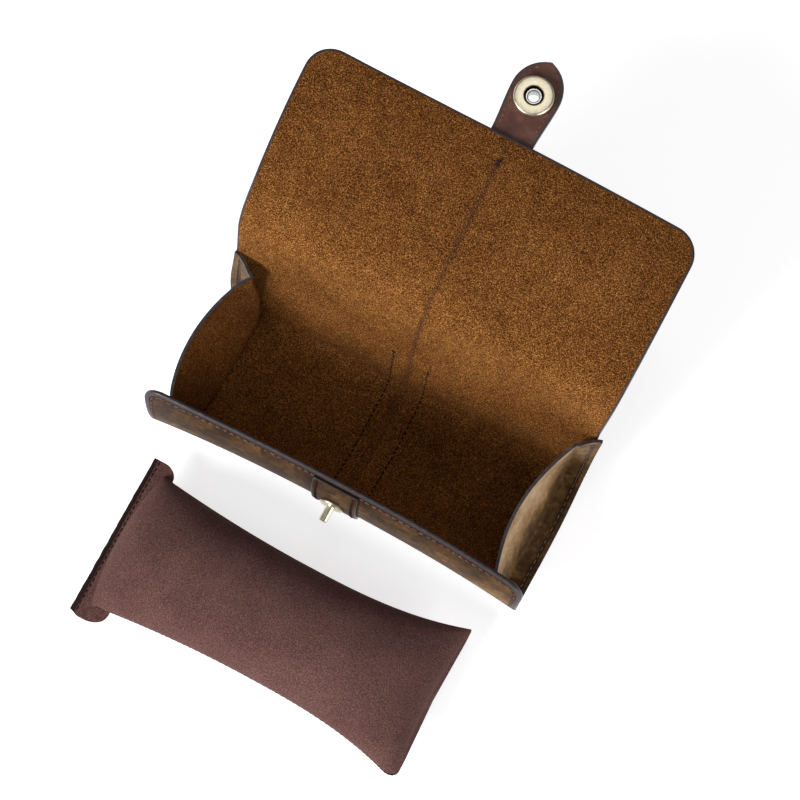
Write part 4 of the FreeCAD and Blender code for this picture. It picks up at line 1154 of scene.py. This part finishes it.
def pillow_shape():
    """The sleeve before it is filled, closed along its side and at both ends."""
    bpy.ops.object.select_all(action="DESELECT")
    bpy.ops.mesh.primitive_grid_add(x_subdivisions=64, y_subdivisions=56, size=1)
    sleeve = new_piece("pillow_cover_suede")
    flat = [(2 * vertex.co.x, vertex.co.y + 0.5) for vertex in sleeve.data.vertices]
    for vertex, (u, around) in zip(sleeve.data.vertices, flat):
        vertex.co = pillow_point(math.copysign(1 - (1 - abs(u)) ** CLOSER_AT_ENDS, u), around)
    side = sleeve.data.attributes.new("around", "FLOAT", "POINT")
    side.data.foreach_set("value", [around for u, around in flat])
    sewn = sleeve.vertex_groups.new(name="sewn")
    sewn.add([index for index, (u, around) in enumerate(flat) if abs(u) > SEWN_FROM], 1.0, "REPLACE")
    bpy.ops.object.mode_set(mode="EDIT")
    bpy.ops.mesh.select_all(action="SELECT")
    bpy.ops.mesh.remove_doubles(threshold=0.02 * MM)
    bpy.ops.mesh.select_all(action="DESELECT")
    bpy.ops.mesh.select_mode(type="EDGE")
    bpy.ops.mesh.select_non_manifold()
    bpy.ops.mesh.fill_holes(sides=0)
    bpy.ops.mesh.select_all(action="SELECT")
    bpy.ops.mesh.normals_make_consistent(inside=False)
    bpy.ops.object.mode_set(mode="OBJECT")
    sleeve.data.materials.append(microfibre)
    return sleeve


def swell(sleeve):
    """Fills the sleeve by pressure as cloth, with its sewn ends held, and limits how far it moves."""
    before = [vertex.co.copy() for vertex in sleeve.data.vertices]
    only(sleeve)
    cloth = sleeve.modifiers.new("cloth", "CLOTH")
    settings = cloth.settings
    settings.quality = 6
    settings.mass = 0.2
    settings.tension_stiffness = 18.0
    settings.compression_stiffness = 18.0
    settings.shear_stiffness = 8.0
    settings.bending_stiffness = 1.5
    settings.use_pressure = True
    settings.uniform_pressure_force = 4.0
    settings.vertex_group_mass = "sewn"
    settings.effector_weights.gravity = 0.0
    cloth.point_cache.frame_start = 1
    cloth.point_cache.frame_end = CLOTH_FRAMES
    for frame_number in range(1, CLOTH_FRAMES + 1):
        bpy.context.scene.frame_set(frame_number)
    bpy.ops.object.modifier_apply(modifier=cloth.name)
    bpy.context.scene.frame_set(1)
    for vertex, start in zip(sleeve.data.vertices, before):
        moved = vertex.co - start
        if moved.length > SWELL_LIMIT:
            moved = moved.normalized() * SWELL_LIMIT
        vertex.co = start + moved
        vertex.co.z = max(vertex.co.z, TABLE_CLEAR)


pillow = pillow_shape()
swell(pillow)
seam_line = sorted((vertex.co.copy() for vertex, turn in
                    zip(pillow.data.vertices, pillow.data.attributes["around"].data)
                    if abs(turn.value - 0.5) < 0.001), key=lambda spot: spot.x)
apply_modifier(pillow, "SUBSURF", levels=1, render_levels=1)
smooth(pillow, 60)
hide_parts("pillow_cover", "pillow_filling")
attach(pillow, "pillow")

HEM_OUTER, HEM_INNER_FRONT, HEM_INNER_BACK = -90.6 * MM, -72.5 * MM, -77.0 * MM
HEM_HALF = 42.0 * MM
HEM_FRONT_EAR = 1.6 * MM
HEM_FRONT_EAR_AT = 0.3
HEM_ROUND, HEM_ROUND_FROM = 7.0 * MM, 0.45
HEM_CLOTH = 2.2 * MM
HEM_ROW = HEM_OUTER + 3.1 * MM
HEM_PITCH = 3.1 * MM
HEM_TOP = 14.4 * MM
HEM_PRESSED, HEM_PRESS_WIDTH = 0.5 * MM, 1.2 * MM
HEM_WAVE = 0.9 * MM
HEM_RAGGED = 0.25 * MM
PILLOW_STITCH = (2.3 * MM, 0.8 * MM, 0.4 * MM)


def hem_half(u, v):
    """Half the hem's length: square at the raw edge, rounded where it meets the sleeve. The ear at
    the front is longer than the one at the back."""
    into = max(0.0, u - HEM_ROUND_FROM) / (1 - HEM_ROUND_FROM)
    ear = HEM_FRONT_EAR * (1 - v) * eased(u / HEM_FRONT_EAR_AT)
    return HEM_HALF + ear - HEM_ROUND * (1 - math.sqrt(max(0.0, 1 - into * into)))


def hem_level(x, y):
    """Top of the hem: pressed down along its row of stitches, with a slight wave."""
    pressed = HEM_PRESSED * math.exp(-((x - HEM_ROW) / HEM_PRESS_WIDTH) ** 2)
    wave = HEM_WAVE * noise.noise(Vector((x * 30, y * 34, 0.4)))
    return HEM_TOP - pressed + wave


def hem_point(u, v):
    """Place on the hem's top: u from the raw edge to the sleeve, v from the front to the back."""
    inner = HEM_INNER_FRONT + (HEM_INNER_BACK - HEM_INNER_FRONT) * v
    x = HEM_OUTER + (inner - HEM_OUTER) * u
    y = (2 * v - 1) * hem_half(u, v)
    ragged = HEM_RAGGED * noise.noise(Vector((y * 260, 3.1, 0.0))) * (1 - u)
    return Vector((x + ragged, PILLOW_Y + y, hem_level(x, y)))


def hem_rim(u, v):
    """Distance to the hem's raw edge."""
    return u * (HEM_INNER_BACK - HEM_OUTER)


hem = leather_sheet("pillow_hem_suede", 24, 90, hem_point, hem_rim, HEM_CLOTH,
                    (hemmed_microfibre, hemmed_microfibre, hemmed_microfibre), edge=0.4 * MM)
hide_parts("pillow_hem")
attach(hem, "pillow")

hem_places = [Matrix.Translation((HEM_ROW + jitter(y / MM, 0.25 * MM), PILLOW_Y + y,
                                  hem_level(HEM_ROW, y)))
              for y in evenly(-HEM_HALF + 2 * MM, HEM_HALF - 2 * MM, HEM_PITCH)]
# The sleeve's side seam, one stitch between each two of its points
side_places = []
for spot, following in zip(seam_line[3:-3], seam_line[4:-2]):
    heading = math.atan2(following.y - spot.y, following.x - spot.x) - math.pi / 2
    middle = (spot + following) / 2 + Vector((0.0, 0.35 * MM, 0.5 * MM))
    side_places.append(Matrix.Translation(middle) @ Matrix.Rotation(heading, 4, "Z"))
pillow_sewing = stitches("pillow_sewing", hem_places + side_places, pillow_thread, *PILLOW_STITCH)
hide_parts("pillow_hem_stitches")
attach(pillow_sewing, "pillow")


# Floor, light and camera

FLOOR_SIZE, FLOOR_DROP = 4.0, 0.2 * MM
FLOOR_GLOW = 0.66
WORLD_STRENGTH = 0.16


def pale_floor():
    """White paper sweep: matt, and white where it is seen straight or in metal, while it keeps the
    object's shadow and adds no light of its own to the object."""
    bpy.ops.object.select_all(action="DESELECT")
    bpy.ops.mesh.primitive_plane_add(size=FLOOR_SIZE, location=(0.0, 0.0, -FLOOR_DROP))
    floor = new_piece("studio_floor")
    material, tree, shader, coords = new_material("white sweep, matt")
    shader.inputs["Base Color"].default_value = (0.82, 0.82, 0.84, 1.0)
    shader.inputs["Roughness"].default_value = 0.9
    rays = add(tree, "ShaderNodeLightPath")
    seen = add(tree, "ShaderNodeMath",
               {0: rays.outputs["Is Camera Ray"], 1: rays.outputs["Is Glossy Ray"]}, operation="MAXIMUM")
    seen = add(tree, "ShaderNodeMath", {0: seen.outputs[0], 1: rays.outputs["Is Transmission Ray"]},
               operation="MAXIMUM")
    glow = add(tree, "ShaderNodeMath", {0: seen.outputs[0], 1: FLOOR_GLOW}, operation="MULTIPLY")
    shader.inputs["Emission Color"].default_value = (1.0, 1.0, 1.0, 1.0)
    tree.links.new(glow.outputs[0], shader.inputs["Emission Strength"])
    floor.data.materials.append(material)


def lamp(name, place, aim, size, power):
    """A round softbox: its place, what it points at and its size in metres, and its power in watts."""
    bpy.ops.object.light_add(type="AREA", location=place)
    made = bpy.context.object
    made.name = name
    made.data.shape = "DISK"
    made.data.size = size
    made.data.energy = power
    made.rotation_euler = (Vector(aim) - Vector(place)).to_track_quat("-Z", "Y").to_euler()


pale_floor()
lamp("key_softbox", (-0.72, -1.2, 0.84), (0.0, 0.0, 0.05), 0.8, 29.0)
lamp("right_softbox", (1.3, -0.45, 0.52), (0.0, 0.0, 0.05), 0.8, 10.0)
lamp("top_softbox", (-0.14, 0.40, 1.6), (0.0, 0.1, 0.1), 0.6, 2.0)
world = bpy.data.worlds.new("studio")
world.use_nodes = True
world.node_tree.nodes["Background"].inputs["Color"].default_value = (1.0, 1.0, 1.0, 1.0)
world.node_tree.nodes["Background"].inputs["Strength"].default_value = WORLD_STRENGTH
bpy.context.scene.world = world

ELEVATION, AZIMUTH, ROLL = (math.radians(degrees) for degrees in (78.9, 25.0, 3.0))
CAMERA_AIM = Vector((6.0, 13.7, 50.0)) * MM
CAMERA_DISTANCE = 750.0 * MM
CAMERA_SENSOR, CAMERA_LENS = 36.0, 70.65
towards = Vector((math.sin(AZIMUTH), -math.cos(AZIMUTH), 0.0)) * math.cos(ELEVATION)
towards.z = math.sin(ELEVATION)
level_right = Vector((math.cos(AZIMUTH), math.sin(AZIMUTH), 0.0))
level_up = towards.cross(level_right)
right = level_right * math.cos(ROLL) + level_up * math.sin(ROLL)
up = level_up * math.cos(ROLL) - level_right * math.sin(ROLL)
camera_data = bpy.data.cameras.new("photo_camera")
camera_data.sensor_width = CAMERA_SENSOR
camera_data.lens = CAMERA_LENS
camera = bpy.data.objects.new("photo_camera", camera_data)
camera.matrix_world = (Matrix.Translation(CAMERA_AIM + towards * CAMERA_DISTANCE)
                       @ Matrix((right, up, towards)).transposed().to_4x4())
bpy.context.scene.collection.objects.link(camera)
bpy.context.scene.camera = camera
bpy.context.scene.view_settings.view_transform = "Standard"
